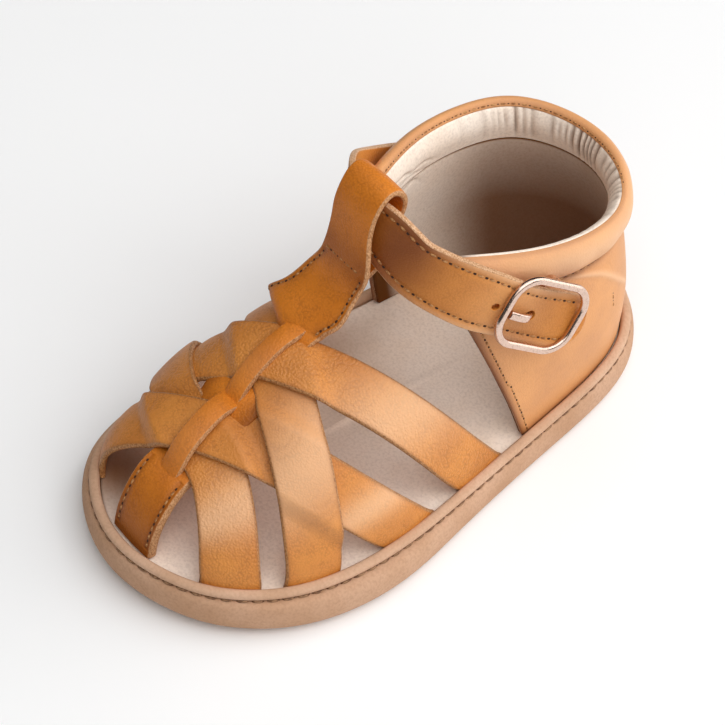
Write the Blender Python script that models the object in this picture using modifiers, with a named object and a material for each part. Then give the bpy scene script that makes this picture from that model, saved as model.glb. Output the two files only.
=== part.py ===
"""Small child's closed-toe strap sandal, left foot, standing empty on its sole.

Toe towards -Y, heel towards +Y, outer side of the foot towards +X, ground at z = 0.
Tables and named sizes are in millimetres; meshes are scaled to metres when made.
"""

import bpy
import numpy as np

MM = 0.001
FIT_GAP = 0.3

# Shift that sets the origin under the middle of the sandal's box.
CENTRING = (0.44, 0.72, 0.0)

# Sole: the lip line is the inner edge of the welt, seen from above.
SOLE_TOP = 6.9
INSOLE_TOP = 8.7
TOE_SPRING = 1.8
TOE_SPRING_FROM = -33.0
TOE_SPRING_LENGTH = 34.0
ARCH_HEIGHT = 1.2
ARCH_CENTRE = 12.0
ARCH_LENGTH = 15.0
ARCH_EDGE_X = -8.0
ARCH_SPAN_X = 14.0
RING_POINTS = 72
SPINE_X = -1.0
SPINE_HALF = 28.0
FLOOR_SHARES = (0.1, 0.5, 0.85)
SEAT_EDGE = 2.0
SEAT_SHARES = (0.9, 0.5, 0.1)
INSOLE_SHARES = (0.85, 0.5, 0.1)

LIP_TOE = (-4.0, -65.0)
LIP_HEEL = (-0.6, 63.6)
LIP_COLUMNS = ("y", "inner_x", "outer_x")
LIP_ROWS = (
    (-60.5, -18.5, 12.0),
    (-53.0, -26.0, 20.6),
    (-42.0, -29.2, 26.6),
    (-25.0, -30.2, 29.4),
    (-8.0, -28.2, 28.4),
    (10.0, -25.6, 26.1),
    (28.0, -24.2, 23.8),
    (44.0, -21.8, 20.9),
    (56.0, -15.6, 14.6),
)

BULGE_COLUMNS = ("y", "outward")
BULGE_ROWS = (
    (-69.0, 3.2),
    (-50.0, 4.3),
    (-25.0, 5.0),
    (-6.0, 3.7),
    (14.0, 3.0),
    (40.0, 3.0),
    (68.0, 3.6),
)

# Outsole side from the ground up: share of the bulge, height.
SIDE_COLUMNS = ("share", "z")
SIDE_ROWS = (
    (0.10, 0.0),
    (0.52, 0.3),
    (0.82, 1.3),
    (1.00, 3.6),
    (0.94, 5.4),
    (0.82, 6.6),
    (0.70, 6.9),
)

# Welt section: outward from the lip line, height.
WELT_COLUMNS = ("outward", "z")
WELT_ROWS = (
    (0.0, 7.2),
    (1.7, 7.2),
    (2.2, 7.9),
    (2.4, 8.9),
    (2.0, 9.9),
    (1.2, 10.4),
    (0.3, 10.4),
    (0.0, 10.1),
)

# Vamp: four side straps woven through a centre strip that becomes the T-bar.
STRAP_THICK = 1.6
STRAP_WIDTH = 13.0
STRAP_STEP = 1.4
STRAP_FOOT = INSOLE_TOP + FIT_GAP
STRAP_SIDE_GAP = 0.45
STRAP_STEPS = 34
STRAP_CELLS = 3
SIDE_POWER = 1.0
TOP_POWER = 1.1

RIDGE_COLUMNS = ("y", "x", "z")
RIDGE_ROWS = (
    (-64.0, -3.0, 12.0),
    (-61.5, -3.2, 16.6),
    (-57.5, -3.8, 20.6),
    (-51.0, -4.8, 24.2),
    (-44.0, -5.6, 27.2),
    (-35.0, -6.0, 32.0),
    (-27.0, -6.0, 36.2),
    (-19.0, -5.6, 38.6),
    (-10.0, -5.0, 39.6),
    (0.0, -4.0, 39.8),
    (16.0, -3.0, 39.8),
)

# Where each strap's centre line meets the inner edge, the ridge and the outer edge,
# and the share of the half section where it rides over another strap.
STRAP_COLUMNS = ("name", "inner_y", "ridge_y", "outer_y", "over_at", "over_half")
STRAP_ROWS = (
    ("rear_outer_strap", -42.0, -28.0, 3.5, 0.0, 0.36),
    ("rear_inner_strap", 3.5, -28.0, -39.8, 0.44, 0.26),
    ("front_outer_strap", -56.5, -45.0, -18.0, -0.06, 0.32),
    ("front_inner_strap", -18.5, -45.0, -54.4, -0.44, 0.26),
)

# Centre strip from the toe, over both crossings, up the T-bar and round the loop.
STRIP_COLUMNS = ("x", "y", "z", "half_width")
STRIP_ROWS = (
    (-3.0, -62.3, 10.6, 5.7),
    (-3.1, -61.3, 14.8, 5.7),
    (-3.7, -57.4, 20.6, 5.6),
    (-4.5, -52.6, 25.0, 4.8),
    (-5.2, -47.6, 29.0, 3.4),
    (-5.5, -43.4, 31.4, 3.3),
    (-5.8, -38.6, 33.0, 3.8),
    (-5.9, -33.6, 36.2, 3.5),
    (-5.8, -28.4, 39.8, 3.3),
    (-5.4, -23.4, 42.2, 4.2),
    (-4.8, -17.0, 45.2, 5.4),
    (-4.4, -11.8, 49.3, 6.0),
    (-4.0, -9.0, 54.0, 6.3),
    (-3.8, -8.4, 58.7, 6.4),
    (-3.7, -6.5, 67.0, 6.3),
    (-3.7, -5.0, 74.2, 6.2),
    (-3.7, -2.6, 75.6, 6.2),
    (-3.7, -0.4, 73.4, 6.1),
    (-3.4, -1.7, 66.0, 5.0),
    (-3.0, -3.6, 58.2, 3.9),
    (-3.2, -7.4, 55.6, 3.9),
)
STRIP_STEPS = 64
STRIP_CELLS = 3

# Heel quarter: front edges at the lip line, and the top line of the collar.
QUARTER_FRONT = 17.4
QUARTER_STEPS = 40
COLLAR_COLUMNS = ("share", "x", "y", "z")
COLLAR_ROWS = (
    (-1.00, -15.4, 5.8, 60.5),
    (-0.78, -22.4, 23.0, 58.0),
    (-0.55, -23.4, 40.2, 56.0),
    (-0.30, -17.6, 52.4, 54.8),
    (0.00, -1.4, 58.2, 53.8),
    (0.30, 13.1, 51.8, 52.9),
    (0.55, 18.8, 40.0, 53.4),
    (0.78, 18.2, 22.8, 56.6),
    (1.00, 12.2, 5.2, 60.5),
)

# Wall section from the foot of the outside, over the rolled top, down the inside.
WALL_COLUMNS = ("height_share", "outward")
WALL_ROWS = (
    (0.000, -0.5),
    (0.120, 0.1),
    (0.300, 0.7),
    (0.500, 0.4),
    (0.680, -0.3),
    (0.770, -0.8),
    (0.815, 0.2),
    (0.870, 1.2),
    (0.930, 1.5),
    (0.975, 0.9),
    (1.000, -0.5),
    (0.985, -2.0),
    (0.940, -3.0),
    (0.870, -3.2),
    (0.800, -3.0),
    (0.740, -2.8),
    (0.500, -1.6),
    (0.300, -1.3),
    (0.120, -1.7),
    (0.000, -2.3),
)

# Ankle strap: middle line from the inner end round the front to the outer tip.
ANKLE_THICK = 2.0
ANKLE_AXIS = (-3.0, 25.0)
ANKLE_STEPS = 56
ANKLE_CELLS = 3
ANKLE_COLUMNS = ("x", "y", "z", "lean", "half_width")
ANKLE_ROWS = (
    (-25.3, 30.0, 40.0, 0.02, 6.4),
    (-24.4, 21.0, 43.2, 0.04, 6.9),
    (-21.8, 12.0, 48.4, 0.12, 7.0),
    (-17.8, 3.4, 55.0, 0.21, 6.9),
    (-13.8, -0.9, 60.8, 0.23, 6.8),
    (-10.8, -3.6, 65.6, 0.25, 6.7),
    (-7.6, -4.6, 67.3, 0.25, 6.6),
    (-4.0, -4.7, 67.6, 0.25, 6.6),
    (-0.6, -4.7, 67.4, 0.25, 6.7),
    (3.2, -4.2, 66.6, 0.25, 6.8),
    (7.2, -2.5, 62.4, 0.25, 7.0),
    (14.4, 3.0, 56.0, 0.25, 7.0),
    (18.6, 7.8, 52.3, 0.23, 7.0),
    (21.0, 12.0, 49.6, 0.21, 5.9),
    (23.2, 18.4, 45.2, 0.20, 5.5),
    (25.3, 25.0, 41.2, 0.18, 5.4),
    (26.1, 28.6, 39.0, 0.18, 4.6),
)

# Buckle: a rounded frame over the strap, its bar under it, and the prong.
BUCKLE_ROW = 14
BUCKLE_HALF_LENGTH = 8.6
BUCKLE_HALF_WIDTH = 7.5
BUCKLE_CORNER = 3.0
BUCKLE_WIRE = 1.0
FRAME_RISE = 2.9
BAR_RADIUS = 0.8
BAR_COLUMNS = ("width_share", "outward")
BAR_ROWS = (
    (1.00, 2.9),
    (0.98, 0.8),
    (0.94, -1.4),
    (0.80, -2.35),
    (0.40, -2.35),
    (0.00, -2.35),
)
PRONG_RADIUS = 0.65
PRONG_HOLE = 1.35
PRONG_HOLE_AT = -3.0
PRONG_STEPS = 16
PRONG_COLUMNS = ("along", "outward")
PRONG_ROWS = (
    (-1.8, -2.3),
    (-2.5, -2.1),
    (-2.9, -1.2),
    (-3.0, 0.0),
    (-3.1, 1.2),
    (-3.7, 2.2),
    (-6.8, 2.6),
)

LEATHER = ((0.58, 0.27, 0.09, 1.0), 0.5, 0.0)
SOLE_HIDE = ((0.56, 0.38, 0.27, 1.0), 0.85, 0.0)
WELT_HIDE = ((0.68, 0.48, 0.37, 1.0), 0.8, 0.0)
INSOLE_HIDE = ((0.6, 0.48, 0.4, 1.0), 0.75, 0.0)
PALE_METAL = ((0.86, 0.74, 0.68, 1.0), 0.25, 1.0)


def column(rows, names, name):
    """One named column of a table, as an array."""
    return np.array([row[names.index(name)] for row in rows])


def spline(knots, values, at):
    """Natural cubic spline through the knots."""
    knots = np.asarray(knots, float)
    values = np.asarray(values, float)
    if values.ndim == 1:
        return spline(knots, values[:, None], at)[..., 0]
    at = np.asarray(at, float)
    span = np.diff(knots)
    size = len(knots)
    matrix = np.eye(size)
    right = np.zeros(values.shape)
    slope = np.diff(values, axis=0) / span[:, None]
    for i in range(1, size - 1):
        matrix[i, i - 1 : i + 2] = span[i - 1], 2 * (span[i - 1] + span[i]), span[i]
        right[i] = 6 * (slope[i] - slope[i - 1])
    bend = np.linalg.solve(matrix, right)
    k = np.clip(np.searchsorted(knots, at, side="right") - 1, 0, size - 2)
    b = ((at - knots[k]) / span[k])[..., None]
    a = 1 - b
    scale = (span[k] ** 2 / 6)[..., None]
    return a * values[k] + b * values[k + 1] + ((a**3 - a) * bend[k] + (b**3 - b) * bend[k + 1]) * scale


def running_length(points):
    """Length along a polyline at each of its points."""
    return np.r_[0.0, np.cumsum(np.linalg.norm(np.diff(points, axis=0), axis=1))]


def even(points, count):
    """The polyline again, as evenly spaced points."""
    length = running_length(points)
    at = np.linspace(0, length[-1], count)
    return np.stack([np.interp(at, length, points[:, i]) for i in range(points.shape[1])], axis=1)


def unit(vectors):
    return vectors / np.linalg.norm(vectors, axis=-1, keepdims=True)


def toe_lift(y):
    """Height by which the sole leaves the ground towards the toe."""
    return TOE_SPRING * np.clip((TOE_SPRING_FROM - np.asarray(y)) / TOE_SPRING_LENGTH, 0, None) ** 2


def lip_line(count):
    """Closed lip line, counter-clockwise from the toe, with its outward normals."""
    y = column(LIP_ROWS, LIP_COLUMNS, "y")
    outer = np.stack([column(LIP_ROWS, LIP_COLUMNS, "outer_x"), y], axis=1)
    inner = np.stack([column(LIP_ROWS, LIP_COLUMNS, "inner_x"), y], axis=1)
    once = np.vstack([[LIP_TOE], outer, [LIP_HEEL], inner[::-1]])
    thrice = np.vstack([once, once, once])
    knots = np.r_[0.0, np.cumsum(np.linalg.norm(np.diff(thrice, axis=0), axis=1) ** 0.5)]
    at = np.linspace(knots[len(once)], knots[2 * len(once)], 2001)
    points = even(spline(knots, thrice, at), count + 1)[:-1]
    along = unit(np.roll(points, -1, axis=0) - np.roll(points, 1, axis=0))
    return points, np.stack([along[:, 1], -along[:, 0]], axis=1)


def sole_ring(outward, z, count=RING_POINTS):
    """Ring at a distance outside the lip line and a height, lifted at the toe."""
    points, normals = lip_line(count)
    ring = points + normals * np.broadcast_to(outward, count)[:, None]
    return np.column_stack([ring, z + toe_lift(ring[:, 1])])


def drawn_in(ring, share, z):
    """The ring drawn in towards the sole's spine."""
    spine = np.column_stack([np.full(len(ring), SPINE_X), np.clip(ring[:, 1], -SPINE_HALF, SPINE_HALF)])
    flat = spine + share * (ring[:, :2] - spine)
    return np.column_stack([flat, z + toe_lift(flat[:, 1])])


def arched(ring):
    """Raises the inner side of the waist, off the ground."""
    inner_side = np.clip((ARCH_EDGE_X - ring[:, 0]) / ARCH_SPAN_X, 0, 1)
    rise = ARCH_HEIGHT * inner_side**2 * np.exp(-(((ring[:, 1] - ARCH_CENTRE) / ARCH_LENGTH) ** 2))
    return ring + np.column_stack([0 * rise, 0 * rise, rise])


def collection(name):
    made = bpy.data.collections.new(name)
    bpy.context.scene.collection.children.link(made)
    return made


def material(name, look):
    colour, roughness, metallic = look
    made = bpy.data.materials.new(name)
    made.use_nodes = True
    shader = made.node_tree.nodes["Principled BSDF"]
    shader.inputs["Base Color"].default_value = colour
    shader.inputs["Roughness"].default_value = roughness
    shader.inputs["Metallic"].default_value = metallic
    made.diffuse_color = colour
    return made


def mesh_object(name, points, faces, group, look=None):
    """A mesh from points in millimetres, shifted to the sandal's origin."""
    mesh = bpy.data.meshes.new(name)
    mesh.from_pydata(((np.asarray(points).reshape(-1, 3) + CENTRING) * MM).tolist(), [], faces)
    mesh.validate()
    made = bpy.data.objects.new(name, mesh)
    group.objects.link(made)
    if look:
        mesh.materials.append(look)
    return made


def grid_faces(rows, cells, wrap_rows=False, wrap_cells=False):
    """Quads of a grid of points, rows by cells."""
    faces = []
    for i in range(rows if wrap_rows else rows - 1):
        for j in range(cells if wrap_cells else cells - 1):
            below = i * cells
            above = (i + 1) % rows * cells
            beside = (j + 1) % cells
            faces.append((below + j, below + beside, above + beside, above + j))
    return faces


def stacked_rings(name, rings, group, look):
    """A solid from closed rings, its first and last rings filled."""
    count = len(rings[0])
    last = (len(rings) - 1) * count
    faces = grid_faces(len(rings), count, wrap_cells=True)
    faces.append(tuple(range(count))[::-1])
    faces.append(tuple(last + j for j in range(count)))
    return mesh_object(name, np.vstack(rings), faces, group, look)


def lofted(name, sections, group, look, closed=False):
    """A solid from closed sections set along a path, capped unless the path closes."""
    rows, cells = sections.shape[:2]
    faces = grid_faces(rows, cells, wrap_rows=closed, wrap_cells=True)
    if not closed:
        faces.append(tuple(range(cells))[::-1])
        faces.append(tuple((rows - 1) * cells + j for j in range(cells)))
    return mesh_object(name, sections, faces, group, look)


def shell(name, grid, thickness, offset, group, look=None):
    """An open grid thickened into a solid."""
    made = mesh_object(name, grid, grid_faces(*grid.shape[:2]), group, look)
    thicken = made.modifiers.new("thickness", "SOLIDIFY")
    thicken.thickness = thickness * MM
    thicken.offset = offset
    thicken.use_even_offset = False
    return made


def combine(target, others, operation):
    """Joins solids to the target, or cuts them from it."""
    for other in others:
        change = target.modifiers.new(other.name, "BOOLEAN")
        change.operation = operation
        change.solver = "EXACT"
        change.object = other
    return target


def hide(helper):
    helper.hide_render = True
    helper.display_type = "WIRE"
    return helper


def build_outsole(group, look):
    """Cupped outsole: flat ground, rounded side, seat for the insole and the welt."""
    lip, _ = lip_line(RING_POINTS)
    bulge_y = column(BULGE_ROWS, BULGE_COLUMNS, "y")
    bulge = spline(bulge_y, column(BULGE_ROWS, BULGE_COLUMNS, "outward"), lip[:, 1])
    edge = sole_ring(0.0, 0.0)
    rings = [arched(drawn_in(edge, share, 0.0)) for share in FLOOR_SHARES]
    for share, z in SIDE_ROWS:
        ring = sole_ring(bulge * share, z)
        rings.append(arched(ring) if z < 1.0 else ring)
    rings.append(sole_ring(SEAT_EDGE, SOLE_TOP))
    rings += [drawn_in(edge, share, SOLE_TOP) for share in SEAT_SHARES]
    return stacked_rings("outsole", rings, group, look)


def build_welt(group, look):
    """Lip standing round the edge of the sole, with a groove below it."""
    rings = np.stack([sole_ring(outward, z) for outward, z in WELT_ROWS[::-1]], axis=1)
    return lofted("welt", rings, group, look, closed=True)


def build_insole(group, look):
    """Insole lying inside the welt, a little dished along its edge."""
    edge = sole_ring(-FIT_GAP, 0.0)
    low = SOLE_TOP + FIT_GAP
    rings = [drawn_in(edge, share, low) for share in (0.1, 0.5)]
    rings.append(sole_ring(-FIT_GAP, low))
    rings.append(sole_ring(-FIT_GAP, INSOLE_TOP - 0.2))
    rings.append(sole_ring(-0.8, INSOLE_TOP))
    rings += [drawn_in(edge, share, INSOLE_TOP) for share in INSOLE_SHARES]
    return stacked_rings("insole", rings, group, look)


def strap_foot_x(y, outer):
    """Across position of the strap feet at a distance along the foot."""
    points, normals = lip_line(1200)
    line = points - normals * (STRAP_THICK + STRAP_SIDE_GAP)
    toe = np.argmin(line[:, 1])
    line = np.roll(line, -toe, axis=0)
    heel = np.argmax(line[:, 1])
    half = line[: heel + 1] if outer else np.vstack([line[heel:], line[:1]])[::-1]
    return np.interp(y, half[:, 1], half[:, 0])


def vamp(y, s):
    """Under side of the vamp: s runs from -1 at the inner foot line to 1 at the outer.

    Each half section is a quarter oval from the ridge down to the foot line.
    """
    ridge = even(spline(RIDGE_ARC, np.array(RIDGE_ROWS), np.linspace(0, RIDGE_ARC[-1], 400)), 400)
    ridge_x = np.interp(y, ridge[:, 0], ridge[:, 1])
    ridge_z = np.interp(y, ridge[:, 0], ridge[:, 2])
    foot_x = np.where(s > 0, strap_foot_x(y, True), strap_foot_x(y, False))
    foot_z = STRAP_FOOT + toe_lift(y)
    turn = np.clip(np.abs(s), 0, 1) * np.pi / 2
    x = ridge_x + (foot_x - ridge_x) * np.sin(turn) ** SIDE_POWER
    z = foot_z + (ridge_z - foot_z) * np.clip(np.cos(turn), 0, 1) ** TOP_POWER
    return np.stack([x, y + 0 * x, z], axis=-1)


RIDGE_ARC = running_length(np.array(RIDGE_ROWS))


def vamp_frame(y, s):
    """Outward normals of the vamp and its two directions."""
    step = 0.02
    inside = np.clip(s, -0.97, 0.97)
    along = (vamp(y + step, inside) - vamp(y - step, inside)) / (2 * step)
    across = (vamp(y, inside + step) - vamp(y, inside - step)) / (2 * step)
    return unit(np.cross(across, along)), along, across


def strap_grid(inner_y, ridge_y, outer_y, over_at, over_half):
    """A strap across the vamp, lifted by one thickness where it rides over another."""
    s = np.linspace(-1, 1, STRAP_STEPS)
    slope = (outer_y - inner_y) / 2
    bow = (outer_y + inner_y) / 2 - ridge_y
    middle = ridge_y + slope * s + bow * s**2
    _, along, across = vamp_frame(middle, s)
    path = unit(across + along * (slope + 2 * bow * s)[:, None])
    sideways = along - np.sum(along * path, axis=1, keepdims=True) * path
    half = STRAP_WIDTH / 2 / np.linalg.norm(sideways, axis=1)
    ramp = np.clip((over_half + 0.2 - np.abs(s - over_at)) / 0.2, 0, 1)
    rise = STRAP_STEP * ramp**2 * (3 - 2 * ramp)
    y = middle[:, None] + half[:, None] * np.linspace(-1, 1, STRAP_CELLS + 1)
    s_grid = np.broadcast_to(s[:, None], y.shape)
    normal, _, _ = vamp_frame(y, s_grid)
    return vamp(y, s_grid) + normal * rise[:, None, None]


def strip_grid():
    """Centre strip and T-bar as a ribbon whose width lies across the foot."""
    rows = np.array(STRIP_ROWS)
    arc = running_length(rows[:, :3])
    path = spline(arc, rows, np.linspace(0, arc[-1], STRIP_STEPS))
    width = path[:, 3:] * np.linspace(-1, 1, STRIP_CELLS + 1)
    grid = np.repeat(path[:, None, :3], STRIP_CELLS + 1, axis=1)
    grid[:, :, 0] += width
    return grid


def build_vamp(group, helpers, look):
    """Woven straps, centre strip, T-bar and loop, joined where they cross."""
    strip = shell("vamp_straps", strip_grid(), STRAP_THICK, 1.0, group, look)
    straps = []
    for row in STRAP_ROWS:
        grid = strap_grid(*row[1:])
        straps.append(hide(shell(row[0], grid[:, ::-1], STRAP_THICK, 1.0, helpers)))
    return combine(strip, straps, "UNION")


def quarter_rim(share):
    """Foot of the heel wall, from the inner front edge (-1) round the heel to the outer (1)."""
    points, normals = lip_line(1200)
    heel = np.argmax(points[:, 1])
    halves = []
    for way in (1, -1):
        turned = np.roll(points[::way], -(heel if way == 1 else len(points) - 1 - heel), axis=0)
        front = np.argmax(turned[:, 1] < QUARTER_FRONT)
        halves.append(even(turned[: front + 1], 200))
    inner, outer = halves
    both = np.vstack([inner[::-1], outer[1:]])
    at = np.linspace(-1, 1, len(both))
    return np.stack([np.interp(share, at, both[:, i]) for i in range(2)], axis=-1)


def collar_line(share):
    """Top line of the heel wall, from the inner front end to the outer."""
    rows = np.array(COLLAR_ROWS)
    return spline(rows[:, 0], rows[:, 1:], share)


def build_quarter(group, look):
    """Heel wall with its padded collar, closed round the heel and open in front."""
    share = np.linspace(-1, 1, QUARTER_STEPS)
    rim = np.column_stack([quarter_rim(share), np.full(QUARTER_STEPS, STRAP_FOOT)])
    top = collar_line(share)
    run = np.gradient((rim + top)[:, :2], axis=0)
    outward = unit(np.stack([-run[:, 1], run[:, 0]], axis=1))
    height = column(WALL_ROWS, WALL_COLUMNS, "height_share")[None, :, None]
    push = column(WALL_ROWS, WALL_COLUMNS, "outward")[None, :, None]
    sections = rim[:, None] + (top - rim)[:, None] * height
    sections[:, :, :2] += outward[:, None] * push
    return lofted("heel_quarter", sections, group, look)


def ankle_path():
    """Middle line of the ankle strap with its run, outward and width directions."""
    rows = np.array(ANKLE_ROWS)
    arc = running_length(rows[:, :3])
    at = np.sort(np.r_[np.linspace(0, arc[-1], ANKLE_STEPS), arc[BUCKLE_ROW]])
    path = spline(arc, rows, at)
    run = unit(np.gradient(path[:, :3], at, axis=0))
    out = unit(path[:, :2] - np.array(ANKLE_AXIS))
    out = unit(np.column_stack([out, path[:, 3]]))
    out = unit(out - np.sum(out * run, axis=1, keepdims=True) * run)
    return path, run, out, np.cross(out, run), np.argmin(np.abs(at - arc[BUCKLE_ROW]))


def build_ankle_strap(group, helpers, look):
    """Ankle strap through the loop, its tip under the buckle and holed for the prong."""
    path, _, _, across, _ = ankle_path()
    spread = np.linspace(-1, 1, ANKLE_CELLS + 1)[None, :, None]
    grid = path[:, None, :3] + across[:, None] * path[:, None, 4:5] * spread
    strap = shell("ankle_strap", grid, ANKLE_THICK, 0.0, group, look)
    hole = buckle_point(np.array([[PRONG_HOLE_AT, 0.0, -3.0], [PRONG_HOLE_AT, 0.0, 3.0]]))
    return combine(strap, [hide(tube("prong_hole", hole, PRONG_HOLE, helpers))], "DIFFERENCE")


def buckle_point(local):
    """Points given along the strap, up its width and outward from it, at the buckle."""
    path, run, out, across, k = ankle_path()
    return path[k, :3] + local @ np.stack([run[k], across[k], out[k]])


def tube(name, path, radius, group, look=None, closed=False, sides=10):
    """A round wire along a path."""
    if closed:
        run = unit(np.roll(path, -1, axis=0) - np.roll(path, 1, axis=0))
    else:
        run = unit(np.gradient(path, axis=0))
    lean = np.array([0.35, 0.2, 0.915])
    side = unit(np.cross(run, lean))
    rise = np.cross(run, side)
    turn = np.linspace(0, 2 * np.pi, sides, endpoint=False)
    ring = np.cos(turn)[None, :, None] * side[:, None] + np.sin(turn)[None, :, None] * rise[:, None]
    return lofted(name, path[:, None] + radius * ring, group, look, closed)


def build_buckle(group, helpers, look):
    """Rounded frame over the strap with a bar bowed under it."""
    corner = np.linspace(0, np.pi / 2, 6)
    quarter = np.stack([np.cos(corner), np.sin(corner)], axis=1) * BUCKLE_CORNER
    inner_length = BUCKLE_HALF_LENGTH - BUCKLE_CORNER
    inner_width = BUCKLE_HALF_WIDTH - BUCKLE_CORNER
    points = []
    for turn, (long, wide) in enumerate(((1, 1), (-1, 1), (-1, -1), (1, -1))):
        centre = np.array([long, wide]) * (inner_length, inner_width)
        angle = turn * np.pi / 2
        spin = np.array([[np.cos(angle), np.sin(angle)], [-np.sin(angle), np.cos(angle)]])
        points.append(centre + quarter @ spin)
    flat = np.vstack(points)
    frame = tube(
        "buckle_frame",
        buckle_point(np.column_stack([flat, np.full(len(flat), FRAME_RISE)])),
        BUCKLE_WIRE,
        group,
        look,
        closed=True,
    )
    half = np.array(BAR_ROWS) * [BUCKLE_HALF_WIDTH, 1.0]
    bow = np.vstack([half, half[-2::-1] * [-1, 1]])
    bar_path = buckle_point(np.column_stack([np.zeros(len(bow)), bow]))
    bar = tube("buckle_bar", bar_path, BAR_RADIUS, helpers)
    return combine(frame, [hide(bar)], "UNION")


def build_prong(group, look):
    """Prong from beside the bar, up through the strap and out to the frame."""
    rows = np.array(PRONG_ROWS)
    arc = running_length(rows)
    path = spline(arc, rows, np.linspace(0, arc[-1], PRONG_STEPS))
    local = np.column_stack([path[:, 0], np.zeros(len(path)), path[:, 1]])
    return tube("buckle_prong", buckle_point(local), PRONG_RADIUS, group, look, sides=8)


def build_sandal():
    for obj in list(bpy.data.objects):
        bpy.data.objects.remove(obj)
    parts = collection("closed_toe_sandal")
    helpers = collection("joined_straps_and_cutters")
    leather = material("tan_leather", LEATHER)
    metal = material("pale_metal", PALE_METAL)
    build_outsole(parts, material("taupe_sole", SOLE_HIDE))
    build_welt(parts, material("pale_welt", WELT_HIDE))
    build_insole(parts, material("pale_insole", INSOLE_HIDE))
    build_vamp(parts, helpers, leather)
    build_quarter(parts, leather)
    build_ankle_strap(parts, helpers, leather)
    build_buckle(parts, helpers, metal)
    build_prong(parts, metal)


build_sandal()
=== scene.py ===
import bpy
import numpy as np
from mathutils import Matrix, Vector


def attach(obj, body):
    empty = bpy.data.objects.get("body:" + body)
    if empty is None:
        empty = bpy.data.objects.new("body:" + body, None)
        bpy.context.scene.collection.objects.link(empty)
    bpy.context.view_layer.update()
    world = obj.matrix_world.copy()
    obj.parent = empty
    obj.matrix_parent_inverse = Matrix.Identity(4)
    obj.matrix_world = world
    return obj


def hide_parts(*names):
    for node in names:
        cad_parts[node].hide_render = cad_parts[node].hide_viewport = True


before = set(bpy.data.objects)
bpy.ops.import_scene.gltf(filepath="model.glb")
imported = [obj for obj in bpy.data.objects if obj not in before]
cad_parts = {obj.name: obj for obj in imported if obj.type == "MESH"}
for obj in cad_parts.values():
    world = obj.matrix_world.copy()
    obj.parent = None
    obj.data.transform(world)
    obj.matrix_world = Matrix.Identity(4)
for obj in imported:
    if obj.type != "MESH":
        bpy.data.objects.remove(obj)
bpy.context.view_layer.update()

# Outsole: a soft cupped sole moulded in one piece from napped taupe rubber.
# Its side bulges past the lip; heel and forefoot lie flat on the ground,
# the toe lifts a little and the inner side of the waist is arched.

MM = 0.001
CENTRING = np.array([0.44, 0.72, 0.0])
RING_POINTS = 420
LIP_CURVE_STEPS = 2001
SOLE_TOP = 6.9
TOE_SPRING = 1.8
TOE_SPRING_FROM = -33.0
TOE_SPRING_LENGTH = 34.0
ARCH_HEIGHT = 1.2
ARCH_CENTRE = 12.0
ARCH_LENGTH = 15.0
ARCH_EDGE_X = -8.0
ARCH_SPAN_X = 14.0
SPINE_X = -1.0
SPINE_HALF = 28.0
LIP_TOE = (-4.0, -65.0)
LIP_HEEL = (-0.6, 63.6)
# Lip line: y, inner x, outer x.
LIP_ROWS = np.array([
    (-60.5, -18.5, 12.0),
    (-53.0, -26.0, 20.6),
    (-42.0, -29.2, 26.6),
    (-25.0, -30.2, 29.4),
    (-8.0, -28.2, 28.4),
    (10.0, -25.6, 26.1),
    (28.0, -24.2, 23.8),
    (44.0, -21.8, 20.9),
    (56.0, -15.6, 14.6),
])
# Bulge of the side: y, outward.
BULGE_ROWS = np.array([
    (-69.0, 3.2),
    (-50.0, 4.3),
    (-25.0, 5.0),
    (-6.0, 3.7),
    (14.0, 3.0),
    (40.0, 3.0),
    (68.0, 3.6),
])
# Side from the ground up: share of the bulge, height.
SIDE_ROWS = np.array([
    (0.10, 0.0),
    (0.52, 0.3),
    (0.82, 1.3),
    (1.00, 3.6),
    (0.97, 5.4),
    (0.86, 7.2),
    (0.66, 8.2),
    (0.50, 8.4),
])
SIDE_STEPS = 34
MEAN_BULGE = 4.0
RIM_TOP = 8.4
RIM_EDGE = 0.15
ARCH_FADE = 3.0
UNDERSIDE_SHARES = np.linspace(0.08, 0.96, 9)
BED_SHARES = (0.95, 0.6, 0.3, 0.1)
# Patterns of the nap, in cells per metre, and how deep a finish's relief may be, in metres.
NAP_FIBRES = 4200.0
NAP_SPECKS = 1700.0
NAP_CLOUDS = 70.0
RELIEF_DEPTH = 0.0002


def unit(vectors):
    """The vectors at length one."""
    return vectors / np.linalg.norm(vectors, axis=-1, keepdims=True)


def running_length(points):
    """Length along a polyline at each of its points: the sum of the steps so far."""
    return np.r_[0.0, np.cumsum(np.linalg.norm(np.diff(points, axis=0), axis=1))]


def spline(knots, values, at):
    """Natural cubic spline: cubics through the knots with continuous bending, none at the ends."""
    knots = np.asarray(knots, float)
    values = np.asarray(values, float)
    span = np.diff(knots)[:, None]
    slope = np.diff(values, axis=0) / span
    gap = span[:, 0]
    matrix = np.diag(np.r_[1.0, 2 * (gap[:-1] + gap[1:]), 1.0])
    matrix += np.diag(np.r_[gap[:-1], 0.0], -1) + np.diag(np.r_[0.0, gap[1:]], 1)
    ends = 0 * slope[:1]
    bend = np.linalg.solve(matrix, np.vstack([ends, 6 * np.diff(slope, axis=0), ends]))
    k = np.clip(np.searchsorted(knots, at, side="right") - 1, 0, len(knots) - 2)
    b = (at - knots[k])[:, None] / span[k]
    a = 1 - b
    straight = a * values[k] + b * values[k + 1]
    return straight + ((a**3 - a) * bend[k] + (b**3 - b) * bend[k + 1]) * span[k] ** 2 / 6


def read_off(at, length, rows):
    """The rows read off at lengths along a path, straight between its points."""
    return np.stack([np.interp(at, length, column) for column in rows.T], axis=-1)


def even(points, count):
    """The polyline again, as points spaced evenly along its length."""
    length = running_length(points)
    return read_off(np.linspace(0, length[-1], count), length, points)


def ramp(value, start, stop):
    """0 at start and 1 at stop, straight between them and held beyond them."""
    return np.clip((value - start) / (stop - start), 0, 1)


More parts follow.
